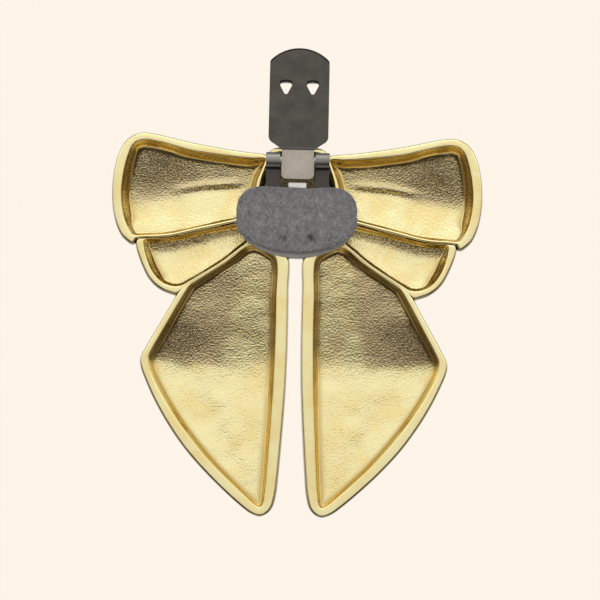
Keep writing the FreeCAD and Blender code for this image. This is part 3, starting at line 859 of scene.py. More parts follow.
    def lobes(self) -> list[Lobe]:
        """Every lobe of the casting.

        Returns:
            Three lobes on either half and the knot.
        """
        drawn = (
            Lobe(self.upper_outer, self.upper_mouth, self.upper_floor, self.loop_fold,
                 coarse=self.upper_grain_and_shade, steep=self.upper_wall),
            Lobe(self.lower_outer, self.lower_mouth, self.lower_floor, rim=3.28, wall_run=1.4,
                 puff=4.0, coarse=self.lower_grain_and_shade, steep=self.lower_wall),
            Lobe(self.tail_outer, self.tail_mouth, self.tail_floor, rim=3.16, wall_run=1.4,
                 puff=4.5, outer_round=0.36, coarse=self.tail_grain_and_shade, steep=self.tail_wall),
        )
        knot = Lobe(
            self.knot_outer, self.knot_mouth, self.knot_floor, self.knot_fold, rim=3.04,
            wall_run=1.0, outer_round=0.3, shell=1.5, puff=5.5, grid=0.35, dark=True)
        return [lobe.on(side) for side in Side for lobe in drawn] + [knot]

    def build(self, finish: "GoldPlate") -> bpy.types.Object:
        """Make the casting.

        Args:
            finish: Its plating.

        Returns:
            The finished piece.
        """
        maker = MeshMaker()
        for lobe in self.lobes():
            lobe.build(maker)
        piece = maker.finish("bow_casting_gold")
        piece.data.materials.append(finish.material())
        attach(piece, self.body)
        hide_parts(self.node)
        return piece


# --- finishes ---------------------------------------------------------------------------

Feed = tuple[bpy.types.Node, str | int]  # a node and one of its outputs


class Graph:
    """A node tree that is filled by short calls."""

    def __init__(self, tree: bpy.types.NodeTree) -> None:
        """Empty the tree.

        Args:
            tree: The tree to fill.
        """
        self.tree = tree
        tree.nodes.clear()

    def add(self, kind: str, inputs: dict[str | int, object] | None = None,
            **settings: object) -> bpy.types.Node:
        """Add a node.

        Args:
            kind: The node's type.
            inputs: What its inputs get, as for feed.
            **settings: The node's own properties.

        Returns:
            The node.
        """
        node = self.tree.nodes.new(kind)
        for name, value in settings.items():
            setattr(node, name, value)
        self.feed(node, inputs or {})
        return node

    def feed(self, node: bpy.types.Node, inputs: dict[str | int, object]) -> None:
        """Fill a node's inputs.

        Args:
            node: The node.
            inputs: For each input, by name or number, its value or the output that feeds it.
        """
        for socket, value in inputs.items():
            target = node.inputs[socket]
            if isinstance(value, tuple) and isinstance(value[0], bpy.types.Node):
                self.tree.links.new(value[0].outputs[value[1]], target)
            else:
                target.default_value = (*value, 1.0) if target.type == "RGBA" else value

    def calc(self, operation: str, *values: Feed | float, clamp: bool = False) -> Feed:
        """One sum.

        Args:
            operation: What is done.
            *values: What it is done to.
            clamp: Whether the result is kept between 0 and 1.

        Returns:
            The result.
        """
        node = self.add(
            "ShaderNodeMath", dict(enumerate(values)), operation=operation, use_clamp=clamp)
        return node, 0

    def scaled(self, source: Feed, factor: float, offset: float = 0.0,
               clamp: bool = False) -> Feed:
        """A value times a factor plus an offset."""
        return self.calc("MULTIPLY_ADD", source, factor, offset, clamp=clamp)

    def ranged(self, source: Feed, low: float, high: float, start: float = 0.0,
               end: float = 1.0, kind: str = "SMOOTHSTEP") -> Feed:
        """A value carried over to another range.

        Args:
            source: The value.
            low: Where the change begins.
            high: Where it ends.
            start: Result at the beginning.
            end: Result at the end.
            kind: How it runs between them.

        Returns:
            The result.
        """
        node = self.add("ShaderNodeMapRange", {
            "Value": source, "From Min": low, "From Max": high, "To Min": start, "To Max": end,
        }, interpolation_type=kind)
        return node, "Result"

    def ramp(self, source: Feed, stops: Sequence[tuple[float, Triple]]) -> Feed:
        """Colours along a value.

        Args:
            source: The value.
            stops: Positions, rising, with their colours.

        Returns:
            The colour.
        """
        node = self.add("ShaderNodeValToRGB", {"Fac": source})
        elements = node.color_ramp.elements
        elements.remove(elements[1])
        elements[0].position = stops[0][0]
        for position, _ in stops[1:]:
            elements.new(position)
        for element, (_, colour) in zip(elements, stops):
            element.color = (*colour, 1.0)
        return node, "Color"

    def mix(self, share: Feed, none: Feed, full: Feed | Triple) -> Feed:
        """One colour blended into another.

        Args:
            share: How much of the second shows.
            none: The first.
            full: The second.

        Returns:
            The colour.
        """
        return self.add("ShaderNodeMix", {"Factor": share, 6: none, 7: full}, data_type="RGBA"), 2


class MaterialGraph(Graph):
    """The node tree of one material, with its Principled shader and its output."""

    def __init__(self, name: str) -> None:
        """Start the material.

        Args:
            name: The material's name.
        """
        self.result = bpy.data.materials.new(name)
        self.result.use_nodes = True
        super().__init__(self.result.node_tree)
        self.shader = self.add("ShaderNodeBsdfPrincipled")
        self.output = self.add("ShaderNodeOutputMaterial", {"Surface": (self.shader, "BSDF")})
        self.place = (self.add("ShaderNodeTexCoord"), "Object")

    def dress(self, **inputs: object) -> bpy.types.Material:
        """Fill the shader's inputs, an underscore in a name standing for a space."""
        self.feed(self.shader, {name.replace("_", " "): value for name, value in inputs.items()})
        return self.result

    def attribute(self, name: str) -> Feed:
        """A number that the mesh carries."""
        return self.add("ShaderNodeAttribute", attribute_name=name), "Fac"

    def noise(self, scale: float, detail: float = 2.0, roughness: float = 0.5,
              stretch: Triple = (1.0, 1.0, 1.0)) -> Feed:
        """Noise on object coordinates.

        Args:
            scale: Waves per metre.
            detail: Octaves.
            roughness: Weight of the finer octaves.
            stretch: Scale along each axis.

        Returns:
            The noise's value.
        """
        mapping = self.add("ShaderNodeMapping", {"Vector": self.place, "Scale": stretch})
        node = self.add("ShaderNodeTexNoise", {
            "Scale": scale, "Detail": detail, "Roughness": roughness,
            "Vector": (mapping, "Vector")})
        return node, "Fac"

    def bump(self, height: Feed, distance: float, below: Feed | None = None) -> Feed:
        """A bump from a height.

        Args:
            height: The height.
            distance: Metres of height for a full step.
            below: A normal that it is laid over.

        Returns:
            The normal.
        """
        inputs = {"Distance": distance, "Strength": 1.0, "Height": height}
        if below is not None:
            inputs["Normal"] = below
        return self.add("ShaderNodeBump", inputs), "Normal"


@dataclass(frozen=True)
class GoldPlate:
    """Pale gold plating: polished rims and front, cast grain in the hollows, painted shade in corners.

    Attributes:
        tint: Colour of the plating.
        thin_tint: Colour where the plating is thinner.
        coarse_shade_tint: Painted shade on the coarse-grained, down-facing parts of the floors.
        recess_shade_tint: Painted shade in the corners and on the outer walls.
        deep_shade_tint: Painted deep shade inside the knot and on the outer walls.
        polish: Roughness of the polished faces.
        matt: Extra roughness where the grain is.
        thin_patches: Waves per metre of the plating's thickness, and its two stops.
        coarse_shade_range: Grain at which that painted shade begins and is full.
        grain_size: Waves per metre of the cast grain.
        grain_height: Height of the grain in metres.
        wave_size: Waves per metre of the hollows' slow unevenness.
        wave_height: Height of that unevenness in metres.
        wear_size: Waves per metre of the worn patches.
        wear_height: Height of the worn patches in metres.
    """

    tint: Triple = (0.92, 0.82, 0.44)
    thin_tint: Triple = (0.90, 0.745, 0.35)
    coarse_shade_tint: Triple = (0.75, 0.61, 0.335)
    recess_shade_tint: Triple = (0.56, 0.42, 0.165)
    deep_shade_tint: Triple = (0.42, 0.35, 0.19)
    polish: float = 0.13
    matt: float = 0.08
    thin_patches: Triple = (160.0, 0.38, 0.56)
    coarse_shade_range: Point = (0.62, 0.95)
    grain_size: float = 2500.0
    grain_height: float = 0.00020
    wave_size: float = 150.0
    wave_height: float = 0.0004
    wear_size: float = 420.0
    wear_height: float = 0.00004

    def material(self) -> bpy.types.Material:
        """The node material.

        Returns:
            The plating.
        """
        made = MaterialGraph("gold_plate")
        mark, corner = made.attribute("grain"), made.attribute("painted_shade")
        scale, thin, thick = self.thin_patches
        plated = made.ramp(made.noise(scale, detail=3.0), [(thin, self.thin_tint), (thick, self.tint)])
        # painted shade on the coarse, down-facing parts of the floors
        coarse_shaded = made.mix(made.ranged(mark, *self.coarse_shade_range), plated, self.coarse_shade_tint)
        # painted shade: the corner colour up to a mark of 1, the deep shade colour beyond it
        corner_shaded = made.mix(corner, coarse_shaded, self.recess_shade_tint)
        deep_shaded = made.mix(made.scaled(corner, 1.0, -1.0, clamp=True), corner_shaded, self.deep_shade_tint)
        worn = made.noise(self.wear_size)
        fine = made.scaled(worn, 0.10, self.polish - 0.05)
        grain = made.noise(self.grain_size, detail=2.5, roughness=0.55)
        grains = made.calc("MULTIPLY", made.scaled(grain, 1.0, -0.5), mark)
        wave = made.scaled(made.noise(self.wave_size, detail=1.0), 1.0, -0.5)
        waves = made.calc("MULTIPLY", wave, made.scaled(mark, 2.5, clamp=True))
        soft = made.bump(worn, self.wear_height)
        rolling = made.bump(waves, self.wave_height, soft)
        return made.dress(
            Metallic=1.0, Base_Color=deep_shaded,
            Roughness=made.calc("MULTIPLY_ADD", mark, self.matt, fine),
            Normal=made.bump(grains, self.grain_height, rolling))


@dataclass(frozen=True)
class PlatedSteel:
    """Nickel-plated sheet with faint drawing marks, softened edges and, if asked, painted light and
    shade below a height.

    Attributes:
        name: The material's name.
        tint: Colour of the metal.
        dull: Colour of its stained patches.
        roughness: Mean roughness.
        edge: Radius of the softened edges in metres.
        grain: Stretch of the drawing marks along each axis.
        stain_size: Waves per metre of the stains.
        stain_stops: Where on those waves the dull colour ends and the clear one begins.
        change_at: Height below which painted light and shade take over the colour, in metres; 0 for
            none.
        change_over: Half of the height over which it changes, in metres.
        lower_tint: The painted colour below that height.
        mark_size: Waves per metre of the drawing marks.
        mark_height: Height of the drawing marks in metres.
    """

    name: str
    tint: Triple = (0.60, 0.58, 0.55)
    dull: Triple = (0.47, 0.45, 0.43)
    roughness: float = 0.34
    edge: float = 0.00012
    grain: Triple = (1.0, 1.0, 0.18)
    stain_size: float = 260.0
    stain_stops: Point = (0.32, 0.62)
    change_at: float = 0.0
    change_over: float = 0.15 * MM
    lower_tint: Triple = (0.64, 0.575, 0.49)
    mark_size: float = 5200.0
    mark_height: float = 0.000012

    def material(self) -> bpy.types.Material:
        """The node material.

        Returns:
            The plated metal.
        """
        made = MaterialGraph(self.name)
        stain = made.noise(self.stain_size, detail=4.0, roughness=0.6)
        tint = made.ramp(stain, list(zip(self.stain_stops, (self.dull, self.tint))))
        # painted light and shade: below change_at the colour turns to lower_tint
        if self.change_at:
            split = made.add("ShaderNodeSeparateXYZ", {"Vector": made.place})
            lower_part = made.ranged(
                (split, "Z"), self.change_at + self.change_over, self.change_at - self.change_over)
            tint = made.mix(lower_part, tint, self.lower_tint)
        edge = made.add("ShaderNodeBevel", {"Radius": self.edge}, samples=4)
        marks = made.noise(self.mark_size, stretch=self.grain)
        return made.dress(
            Metallic=1.0, Base_Color=tint,
            Roughness=made.scaled(stain, 0.16, self.roughness - 0.08),
            Normal=made.bump(marks, self.mark_height, (edge, "Normal")))


@dataclass(frozen=True)
class GlueFilm:
    """Cured glue: a slightly cloudy, yellowed film.

    Attributes:
        tint: Colour of its clear parts.
        shade: How dark its cloudy parts are against them.
        cloud_size: Waves per metre of the clouds.
        lump_height: Height of its lumps in metres.
    """

    tint: Triple = (0.52, 0.46, 0.34)
    shade: float = 0.7
    cloud_size: float = 700.0
    lump_height: float = 0.00006

    def material(self) -> bpy.types.Material:
        """The node material.

        Returns:
            The glue.
        """
        made = MaterialGraph("adhesive")
        clouds = made.noise(self.cloud_size, detail=3.0)
        dark = tuple(part * self.shade for part in self.tint)
        return made.dress(
            Base_Color=made.ramp(clouds, [(0.3, dark), (0.7, self.tint)]),
            Roughness=made.scaled(clouds, 0.3, 0.25), Normal=made.bump(clouds, self.lump_height))


@dataclass(frozen=True)
class Felt:
    """Pressed grey felt: crossed streaks of fibre over a mottled ground.

    Attributes:
        name: The material's name.
        light: Colour of the raised fibres.
        dark: Colour between them.
        dent_shade: Painted shade in the teeth's dents, as a share of the dark colour.
        mottle_size: Waves per metre of the mottled ground.
        turns: How far each set of streaks is turned, in radians.
        streak_size: Waves per metre across a streak.
        streak_length: How long a streak is against its width.
        nap: Height of the raised fibres in metres.
    """

    name: str = "felt"
    light: Triple = (0.23, 0.222, 0.232)
    dark: Triple = (0.10, 0.096, 0.102)
    dent_shade: float = 0.3
    mottle_size: float = 650.0
    turns: Point = (0.7, -0.55)
    streak_size: float = 2200.0
    streak_length: float = 5.0
    nap: float = 0.00035

    def material(self) -> bpy.types.Material:
        """The node material.

        Returns:
            The felt.
        """
        made = MaterialGraph(self.name)
        streaks = made.calc("ADD", *(self._streaks(made, turn) for turn in self.turns))
        mottle = made.noise(self.mottle_size, detail=4.0, roughness=0.6)
        height = made.calc("ADD", made.scaled(streaks, 0.3), made.scaled(mottle, 0.4))
        tint = made.ramp(height, [(0.36, self.dark), (0.62, self.light)])
        # painted shade in the teeth's dents
        shade = tuple(part * self.dent_shade for part in self.dark)
        return made.dress(
            Base_Color=made.mix(made.attribute("painted_shade"), tint, shade), Roughness=0.95,
            Sheen_Weight=0.35, Sheen_Roughness=0.5, Specular_IOR_Level=0.15,
            Normal=made.bump(height, self.nap))

    def _streaks(self, made: MaterialGraph, turn: float) -> Feed:
        """Long noise in the pad's plane.

        Args:
            made: The material's tree.
            turn: How far it is turned, in radians.

        Returns:
            The noise's value.
        """
        turned = made.add("ShaderNodeMapping", vector_type="TEXTURE")
        made.feed(turned, {
            "Vector": made.place, "Rotation": (0.0, turn, 0.0),
            "Scale": (1.0, 1.0, self.streak_length)})
        node = made.add("ShaderNodeTexNoise", {
            "Scale": self.streak_size, "Detail": 2.0, "Vector": (turned, "Vector")})
        return node, "Fac"


# --- the felt pad -----------------------------------------------------------------------

# The pad's mesh, in millimetres.
PAD_RINGS = (0.04, 0.1, 0.2, 0.33, 0.5, 0.75)  # rings of points, from the edge
PAD_SPACING = 0.3                              # spacing along the edge
PAD_GRID, PAD_MARGIN = 0.4, 0.95               # the face's own grid, and where it begins
BACK_GRID, BACK_MARGIN = 1.0, 0.8              # the same for the back
BACK_INSET = 0.12                              # how far the back stands in from the edge
BACK_ROUND = 0.2                               # how far from the back the edge turns in


@dataclass
class FeltPad:
    """The pad: a crowned, soft-edged felt with the teeth's two dents and loose fibres.

    Attributes:
        node: CAD node that it stands for.
        body: Body that it rides on.
        half_width: Half of its width.
        top: Its level upper edge.
        bottom: Its lowest point, below the origin.
        corner: Radius of its upper corners.
        waist: Where the straight sides end, below the origin.
        thickness: Its thickness.
        edge_round: Radius of its soft edges.
        dents: Places of the two dents with their depths.
        fibre_count: Loose fibres on its face.
        fibre_length: Radius of a fibre's arc.
        fibre_radius: Half of a fibre's thickness.
        loose_light: Colour of the loose fibres.
        loose_dark: Their darker colour.
    """

    node: str = "felt_pad"
    body: str = "bow"
    half_width: float = 12.72
    top: float = 6.85
    bottom: float = 7.0
    corner: float = 4.7
    waist: float = 0.2
    thickness: float = 1.2
    edge_round: float = 0.45
    dents: tuple[tuple[float, float, float], ...] = ((2.95, -3.9, 0.65), (-2.5, -4.2, 0.42))
    fibre_count: int = 2600
    fibre_length: float = 2.8
    fibre_radius: float = 0.04
    loose_light: Triple = (0.43, 0.42, 0.435)
    loose_dark: Triple = (0.2, 0.193, 0.2)

    def outline(self) -> Outline:
        """The pad's outline, with the slight waves of a hand-cut edge.

        Returns:
            The outline.
        """
        centre = (self.half_width - self.corner, self.top - self.corner)
        corner = [
            (centre[0] + self.corner * math.cos(angle), centre[1] + self.corner * math.sin(angle))
            for angle in np.radians((0.0, 22.0, 45.0, 68.0, 90.0))
        ]
        lower = [
            (self.half_width * math.cos(angle),
             -self.waist + (self.bottom - self.waist) * math.sin(angle))
            for angle in np.radians(np.linspace(-90.0, -10.0, 9))
        ]
        right = lower + corner + [(5.0, self.top - 0.02), (2.2, self.top - 0.22)]
        left = [(-x, z) for x, z in reversed(right[1:])]
        left[0] = (left[0][0], left[0][1] + 0.06)
        wavy = [(x, z + 0.05 * math.sin(x * 1.9)) for x, z in right + left]
        return Outline(tuple(wavy))

    def face_level(self, places: np.ndarray, border: Border) -> np.ndarray:
        """Level of the gripping face: crowned, rounded at the edge and dented.

        Args:
            places: Places (x, z).
            border: The pad's border.

        Returns:
            The Y of each place.
        """
        inside = np.clip(border.depth(places), 0.0, None)
        short = np.clip(self.edge_round - inside, 0.0, None)
        level = self.edge_round - np.sqrt(self.edge_round ** 2 - short ** 2)
        level += 0.10 * (1.0 - np.clip(inside / 5.0, 0.0, 1.0)) ** 2
        for x, z, depth in self.dents:
            level += depth * ridge(np.hypot(places[:, 0] - x, (places[:, 1] - z) * 0.85), 0.62)
        return level

    def dent_shade_weight(self, places: np.ndarray) -> np.ndarray:
        """How much painted shade each place gets from the dents.

        Args:
            places: Places (x, z).

        Returns:
            A weight from 0 to 1 for each place.
        """
        inside = np.zeros(len(places))
        for x, z, depth in self.dents:
            inside += 1.6 * depth * ridge(np.hypot(places[:, 0] - x, places[:, 1] - z), 0.6)
        return np.clip(inside, 0.0, 1.0)

    def build(self, finish: Felt) -> list[bpy.types.Object]:
        """Make the pad and its loose fibres.

        Args:
            finish: The felt's finish.

        Returns:
            The pad and the fibres.
        """
        border = Border(self.outline(), PAD_SPACING)
        face, faces = triangulated(border, np.vstack(
            border.rings(PAD_RINGS) + [grid_inside(border, PAD_GRID, PAD_MARGIN)]))
        maker = MeshMaker()
        # the teeth's dents get painted shade
        front = maker.layer(
            face, self.face_level(face, border), faces, painted_shade=self.dent_shade_weight(face))
        back_border = border.widened(-BACK_INSET)
        back, back_faces = triangulated(
            back_border, grid_inside(back_border, BACK_GRID, BACK_MARGIN))
        rear = maker.layer(back, self.thickness, [corner[::-1] for corner in back_faces])
        count = len(border.points)
        middle = maker.layer(border.points, self.thickness - BACK_ROUND)
        maker.bridge(front, middle, count)
        maker.bridge(middle, rear, count)
        pad = maker.finish("felt_pad_cloth")
        pad.data.materials.append(finish.material())
        loose = replace(finish, name="felt_fibre", light=self.loose_light, dark=self.loose_dark)
        fibres = self.fibres(pad, loose.material())
        for piece in (pad, fibres):
            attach(piece, self.body)
            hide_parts(self.node)
        return [pad, fibres]

    def fibres(self, pad: bpy.types.Object, material: bpy.types.Material) -> bpy.types.Object:
        """Scatter short curved fibres over the pad's face.

        Args:
            pad: The pad.
            material: The fibres' material.

        Returns:
            One plain mesh that holds all the fibres.
        """
        tree = FibreTree(material).tree
        holder = linked("felt_fibres_holder", pad.data.copy())
        modifier = holder.modifiers.new("fibres", "NODES")
        modifier.node_group = tree
        values = {"Count": self.fibre_count, "Length": self.fibre_length * MM,
                  "Thickness": self.fibre_radius * MM}
        for item in tree.interface.items_tree:
            if item.item_type == "SOCKET" and item.in_out == "INPUT" and item.name in values:
                modifier[item.identifier] = values[item.name]
        evaluated = holder.evaluated_get(bpy.context.evaluated_depsgraph_get())
        mesh = bpy.data.meshes.new_from_object(evaluated)
        holder.modifiers.remove(modifier)
        bpy.data.objects.remove(holder)
        return linked("felt_fibres", mesh)


class FibreTree(Graph):
    """Geometry nodes that lay short, slightly bent fibres flat on a surface."""

    SEEDS = {"places": 7, "turns": 3, "sizes": 5}
    SIZES = (0.45, 1.15)            # smallest and largest fibre against the named length
    SWEEP = 0.9                     # radians of a fibre's arc
    MIDDLE = (-0.9, -0.435, 0.0)    # brings the arc's middle to the origin, for a radius of 1
    FACING = -0.6                   # normals beyond this count as the gripping face
    TOP = 5.4 * MM                  # no fibres above this height

    def __init__(self, material: bpy.types.Material) -> None:
        """Build the tree.

        Args:
            material: What the fibres are given.
        """
        super().__init__(bpy.data.node_groups.new("felt_fibres", "GeometryNodeTree"))
        face = self.tree.interface
        for name, kind in (
                ("Geometry", "Geometry"), ("Count", "Int"), ("Length", "Float"), ("Thickness", "Float")):
            face.new_socket(name, in_out="INPUT", socket_type="NodeSocket" + kind)
        face.new_socket("Geometry", in_out="OUTPUT", socket_type="NodeSocketGeometry")
        entry = self.add("NodeGroupInput")
        scatter = self._places(entry)
        spin = self.add("FunctionNodeAlignRotationToVector", {"Vector": (scatter, "Normal")}, axis="Z")
        angle = self.add("FunctionNodeAxisAngleToRotation", {
            "Axis": (0.0, 0.0, 1.0), "Angle": self._random(0.0, 6.2832, self.SEEDS["turns"])})
        twist = self.add("FunctionNodeRotateRotation", {
            "Rotation": (spin, "Rotation"), "Rotate By": (angle, "Rotation")}, rotation_space="LOCAL")
        copies = self.add("GeometryNodeInstanceOnPoints", {
            "Points": (scatter, "Points"), "Instance": self._fibre(entry),
            "Rotation": (twist, "Rotation"), "Scale": self._random(*self.SIZES, self.SEEDS["sizes"])})
        real = self.add("GeometryNodeRealizeInstances", {"Geometry": (copies, "Instances")})
        paint = self.add("GeometryNodeSetMaterial", {
            "Geometry": (real, "Geometry"), "Material": material})
        self.add("NodeGroupOutput", {"Geometry": (paint, "Geometry")})

    def _random(self, low: float, high: float, seed: int) -> Feed:
        """A random number for each fibre."""
        return self.add(
            "FunctionNodeRandomValue", {2: low, 3: high, "Seed": seed}, data_type="FLOAT"), 1

    def _less(self, value: Feed, limit: float) -> Feed:
        """Whether a value lies below a limit."""
        return self.add("FunctionNodeCompare", {0: value, 1: limit},
                        data_type="FLOAT", operation="LESS_THAN"), "Result"

    def _places(self, entry: bpy.types.Node) -> bpy.types.Node:
        """Scatter points over the gripping face, away from its upper edge.

        Args:
            entry: The tree's inputs.

        Returns:
            The node that gives the points and their normals.
        """
        each = self.add("GeometryNodeInputMeshFaceArea")
        area = self.add("GeometryNodeAttributeStatistic", {
            "Geometry": (entry, "Geometry")}, data_type="FLOAT", domain="FACE")
        self.feed(area, {2: (each, "Area")})
        normal = self.add("ShaderNodeSeparateXYZ", {
            "Vector": (self.add("GeometryNodeInputNormal"), "Normal")})
        place = self.add("ShaderNodeSeparateXYZ", {
            "Vector": (self.add("GeometryNodeInputPosition"), "Position")})
        both = self.add("FunctionNodeBooleanMath", {
            0: self._less((normal, "Y"), self.FACING), 1: self._less((place, "Z"), self.TOP),
        }, operation="AND")
        return self.add("GeometryNodeDistributePointsOnFaces", {
            "Mesh": (entry, "Geometry"), "Selection": (both, "Boolean"),
            "Density": self.calc("DIVIDE", (entry, "Count"), (area, "Sum")),
            "Seed": self.SEEDS["places"]})

    def _fibre(self, entry: bpy.types.Node) -> Feed:
        """One fibre: a thin tube along an arc, with its middle at the origin.

        Args:
            entry: The tree's inputs.

        Returns:
            The fibre's mesh.
        """
        length = (entry, "Length")
        line = self.add("GeometryNodeCurveArc", {
            "Resolution": 5, "Sweep Angle": self.SWEEP, "Radius": length})
        profile = self.add("GeometryNodeCurvePrimitiveCircle", {
            "Resolution": 3, "Radius": (entry, "Thickness")})
        tube = self.add("GeometryNodeCurveToMesh", {
            "Fill Caps": True, "Curve": (line, "Curve"), "Profile Curve": (profile, "Curve")})
        back = self.add("ShaderNodeVectorMath", {0: self.MIDDLE, "Scale": length}, operation="SCALE")
        return self.add("GeometryNodeTransform", {
            "Geometry": (tube, "Mesh"), "Translation": (back, 0)}), "Geometry"


# --- the clip's metal parts -------------------------------------------------------------


@dataclass
class ClipMetal:
    """The stamped parts, the pin and the glue, which keep their own shapes.

    Attributes:
        finishes: The finish of each metal part.
        glued: The films of glue.
    """

    finishes: dict[str, PlatedSteel] = field(default_factory=lambda: {
        # painted shade: below 10.9 mm the base is tinted near black, for the shade under the ears' rolls
        "clip_base": PlatedSteel(
            "clip_steel_base", tint=(0.26, 0.25, 0.225), dull=(0.18, 0.172, 0.155),
            change_at=10.9 * MM, lower_tint=(0.075, 0.066, 0.058)),
        # painted reflection: the flap's plate is tinted dark for the dark room it mirrors, and its heel
        # below 14.5 mm is tinted bright
        "clip_flap": PlatedSteel(
            "clip_steel_flap", tint=(0.098, 0.091, 0.08), dull=(0.072, 0.067, 0.059),
            roughness=0.26, change_at=14.5 * MM),
        "hinge_pin": PlatedSteel("clip_steel_pin", grain=(0.2, 1.0, 1.0)),
        "leaf_spring": PlatedSteel("spring_steel", tint=(0.8, 0.77, 0.72), dull=(0.66, 0.63, 0.6),
                                   roughness=0.3),
        "mount_plate": PlatedSteel("nickel_plate", tint=(0.27, 0.26, 0.24), dull=(0.2, 0.19, 0.17)),
        "clip_rivets": PlatedSteel("rivet_metal", grain=(1.0, 1.0, 1.0)),
    })
    glued: tuple[str, ...] = ("plate_adhesive", "felt_adhesive")

    def dress(self, nodes: dict[str, bpy.types.Object]) -> list[str]:
        """Give each part its finish.

        Args:
            nodes: The frame's nodes.

        Returns:
            The names of the parts dressed.
        """
        glue = GlueFilm().material()
        finished = {name: finish.material() for name, finish in self.finishes.items()}
        finished.update({name: glue for name in self.glued})
        for name, material in finished.items():
            nodes[name].data.materials.clear()
            nodes[name].data.materials.append(material)
        return sorted(finished)


# --- studio -----------------------------------------------------------------------------


@dataclass(frozen=True)
class SoftBox:
    """A square lamp that the camera doesn't see.

    Attributes:
        name: Its name.
        place: Where it hangs, in metres.
        width: Its side, in metres.
        power: Its power, in watts.
        aim: What it points at, in metres.
    """

    name: str
    place: Triple
    width: float
    power: float
    aim: Triple = (0.0, 0.0, -0.01)

    def build(self) -> None:
        """Hang the lamp."""
        lamp = bpy.data.lights.new(self.name, "AREA")
        lamp.energy = self.power
        lamp.size = self.width
        holder = linked(self.name, lamp)
        holder.location = self.place
        towards = Vector(self.aim) - Vector(self.place)
        holder.rotation_euler = towards.to_track_quat("-Z", "Y").to_euler()
        holder.visible_camera = False


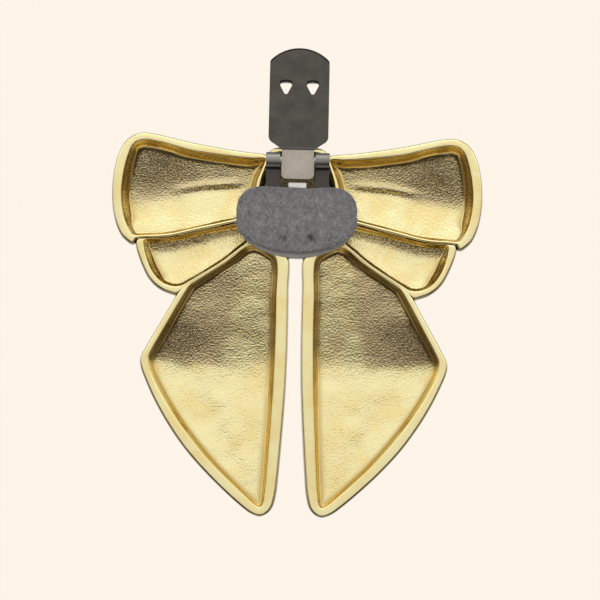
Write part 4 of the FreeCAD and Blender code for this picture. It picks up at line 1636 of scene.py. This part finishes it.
@dataclass(frozen=True)
class Studio:
    """A pale floor, a soft surround of light and the camera.

    The light's brightness follows the direction that it comes from, as lines of (height,
    brightness) with heights from -1, straight below, to 1, straight above.

    Attributes:
        backdrop: Colour of the surroundings as the camera sees them.
        eye: Where the camera stands, in millimetres.
        roll: Turn of the camera about its own line of sight, in degrees.
        view_width: Width of the view at the bow, in millimetres.
        view_plane: The Y at which that width is measured.
        floor_drop: How far the floor lies below the bow, in millimetres.
        floor_radius: Radius of the floor, in metres.
        floor_tint: Colour of the floor as it lights the bow.
        ahead: Light that comes from near the middle plane.
        beside: Light that comes from the sides.
        around: Light that comes from in front of the bow.
        ring: Strength from behind the camera, at -1, to the bow's front, at 1.
        spread: Share of the direction that lies sideways, from ahead to beside.
        front: Share of it that lies forwards, from those two to around.
        nearer: Share of it that lies sideways, over which the lift fades.
        lift: How much lower the light stands near the middle plane.
        clear: Tint of the bright parts.
        dim: Tint of the dim parts.
        dim_below: Brightness below which the tint begins to turn.
        lamps: The lamps.
    """

    backdrop: Triple = (0.991, 0.905, 0.812)
    eye: Triple = (1.06, -400.0, -17.0)
    roll: float = 1.2
    view_width: float = 127.66
    view_plane: float = 3.1
    floor_drop: float = 120.0
    floor_radius: float = 3.0
    floor_tint: Triple = (0.62, 0.57, 0.52)
    ahead: Line = (
        (-1.0, 1.1), (-0.9, 0.6), (-0.78, 0.07), (-0.2, 0.06), (-0.14, 0.7), (-0.06, 0.86),
        (0.12, 0.9), (0.2, 1.0), (0.3, 1.1), (0.42, 0.95), (1.0, 1.05))
    beside: Line = ((-1.0, 0.5), (-0.3, 0.3), (0.0, 0.38), (0.15, 0.7), (0.4, 1.1), (1.0, 1.2))
    around: Line = ((-1.0, 0.4), (-0.3, 0.45), (-0.05, 0.8), (0.1, 1.05), (1.0, 1.2))
    ring: Line = ((-0.1, 1.0), (0.12, 0.12), (0.55, 0.12), (0.8, 0.9))
    spread: Point = (0.5, 0.78)
    front: Point = (0.45, 0.75)
    nearer: Point = (0.06, 0.26)
    lift: float = 0.08
    clear: Triple = (1.0, 0.99, 0.975)
    dim: Triple = (1.0, 0.76, 0.66)
    dim_below: float = 0.5
    lamps: tuple[SoftBox, ...] = (
        SoftBox("top_box", (0.0, -0.25, 0.55), 0.5, 0.7),
        SoftBox("left_box", (-0.55, -0.25, 0.1), 0.4, 0.25),
        SoftBox("right_box", (0.55, -0.25, 0.1), 0.4, 0.25),
        SoftBox("heel_box", (0.0, -0.031, 0.0), 0.012, 0.00033, (0.0, -0.001, 0.0124)),
    )

    def build(self) -> None:
        """Set up the floor, the light and the camera."""
        self._floor()
        self._surround()
        for lamp in self.lamps:
            lamp.build()
        self._camera()
        bpy.context.scene.view_settings.view_transform = "Standard"

    def _floor(self) -> None:
        """A round pale floor, which the camera sees as the backdrop."""
        shape = bmesh.new()
        bmesh.ops.create_circle(shape, cap_ends=True, segments=96, radius=self.floor_radius)
        mesh = bpy.data.meshes.new("floor")
        shape.to_mesh(mesh)
        shape.free()
        low, _ = CAD_BOX
        mesh.transform(Matrix.Translation((0.0, 0.0, low.z - self.floor_drop * MM)))
        floor = linked("floor", mesh)
        made = MaterialGraph("pale_floor")
        shine = made.add("ShaderNodeEmission", {"Color": self.backdrop})
        self._seen(made, (made.shader, "BSDF"), (shine, "Emission"), made.output)
        mesh.materials.append(made.dress(Base_Color=self.floor_tint, Roughness=0.9))
        floor.visible_glossy = False  # the metal mirrors the surround below the horizon instead

    @staticmethod
    def _seen(made: Graph, lit: Feed, shown: Feed, output: bpy.types.Node) -> None:
        """Show the camera something else than what lights the bow.

        Args:
            made: The tree.
            lit: What lights the bow.
            shown: What the camera sees.
            output: The tree's output.
        """
        path = made.add("ShaderNodeLightPath")
        mix = made.add("ShaderNodeMixShader", {0: (path, "Is Camera Ray"), 1: lit, 2: shown})
        made.feed(output, {"Surface": (mix, "Shader")})

    def _surround(self) -> None:
        """Soft light from all round, with a dark band below the horizon and a dim ring past the bow."""
        world = bpy.data.worlds.new("surround")
        bpy.context.scene.world = world
        world.use_nodes = True
        made = Graph(world.node_tree)
        place = made.add("ShaderNodeTexCoord")
        split = made.add("ShaderNodeSeparateXYZ", {0: (place, "Generated")})
        sideways = made.calc("ABSOLUTE", (split, "X"))
        lifted = made.ranged(sideways, *self.nearer, self.lift, 0.0)
        height = made.ranged(made.calc("ADD", (split, "Z"), lifted), -1.0, 1.0, kind="LINEAR")
        ahead, beside, around = (
            made.ramp(height, [((level + 1.0) / 2.0, self._cast(bright)) for level, bright in line])
            for line in (self.ahead, self.beside, self.around))
        behind = made.mix(made.ranged(sideways, *self.spread), ahead, beside)
        colour = made.mix(made.ranged((split, "Y"), *self.front), behind, around)
        strength = made.ramp(
            made.ranged((split, "Y"), -1.0, 1.0, kind="LINEAR"),
            [((level + 1.0) / 2.0, (bright,) * 3) for level, bright in self.ring])
        light = made.add("ShaderNodeBackground", {"Color": colour, "Strength": strength})
        shown = made.add("ShaderNodeBackground", {"Color": self.backdrop})
        self._seen(made, (light, 0), (shown, 0), made.add("ShaderNodeOutputWorld"))

    def _cast(self, bright: float) -> Triple:
        """Colour of the surroundings: the dim parts are warmer.

        Args:
            bright: The brightness.

        Returns:
            The colour.
        """
        share = min(bright / self.dim_below, 1.0)
        return tuple(bright * (share * clear + (1.0 - share) * warm)
                     for clear, warm in zip(self.clear, self.dim))

    def _camera(self) -> None:
        """The camera: level, square to the bow's back and rolled a little."""
        data = bpy.data.cameras.new("camera")
        distance = self.view_plane - self.eye[1]
        data.sensor_width = 36.0
        data.lens = data.sensor_width * distance / self.view_width
        data.clip_start = 0.01
        camera = linked("camera", data)
        camera.location = Vector(self.eye) * MM
        camera.rotation_euler = (
            Matrix.Rotation(math.radians(90.0), 4, "X")
            @ Matrix.Rotation(math.radians(self.roll), 4, "Z")).to_euler()
        bpy.context.scene.camera = camera


def main() -> None:
    """Build every sub-assembly in order and report each piece."""
    logging.basicConfig(level=logging.INFO, format="%(name)s: %(message)s")
    casting = BowCasting().build(GoldPlate())
    LOG.info("%s has %d faces", casting.name, len(casting.data.polygons))
    for piece in FeltPad().build(Felt()):
        LOG.info("%s has %d faces", piece.name, len(piece.data.polygons))
    for name in ClipMetal().dress(frame["nodes"]):
        LOG.info("%s keeps its CAD shape", name)
    Studio().build()


if __name__ == "__main__":
    main()
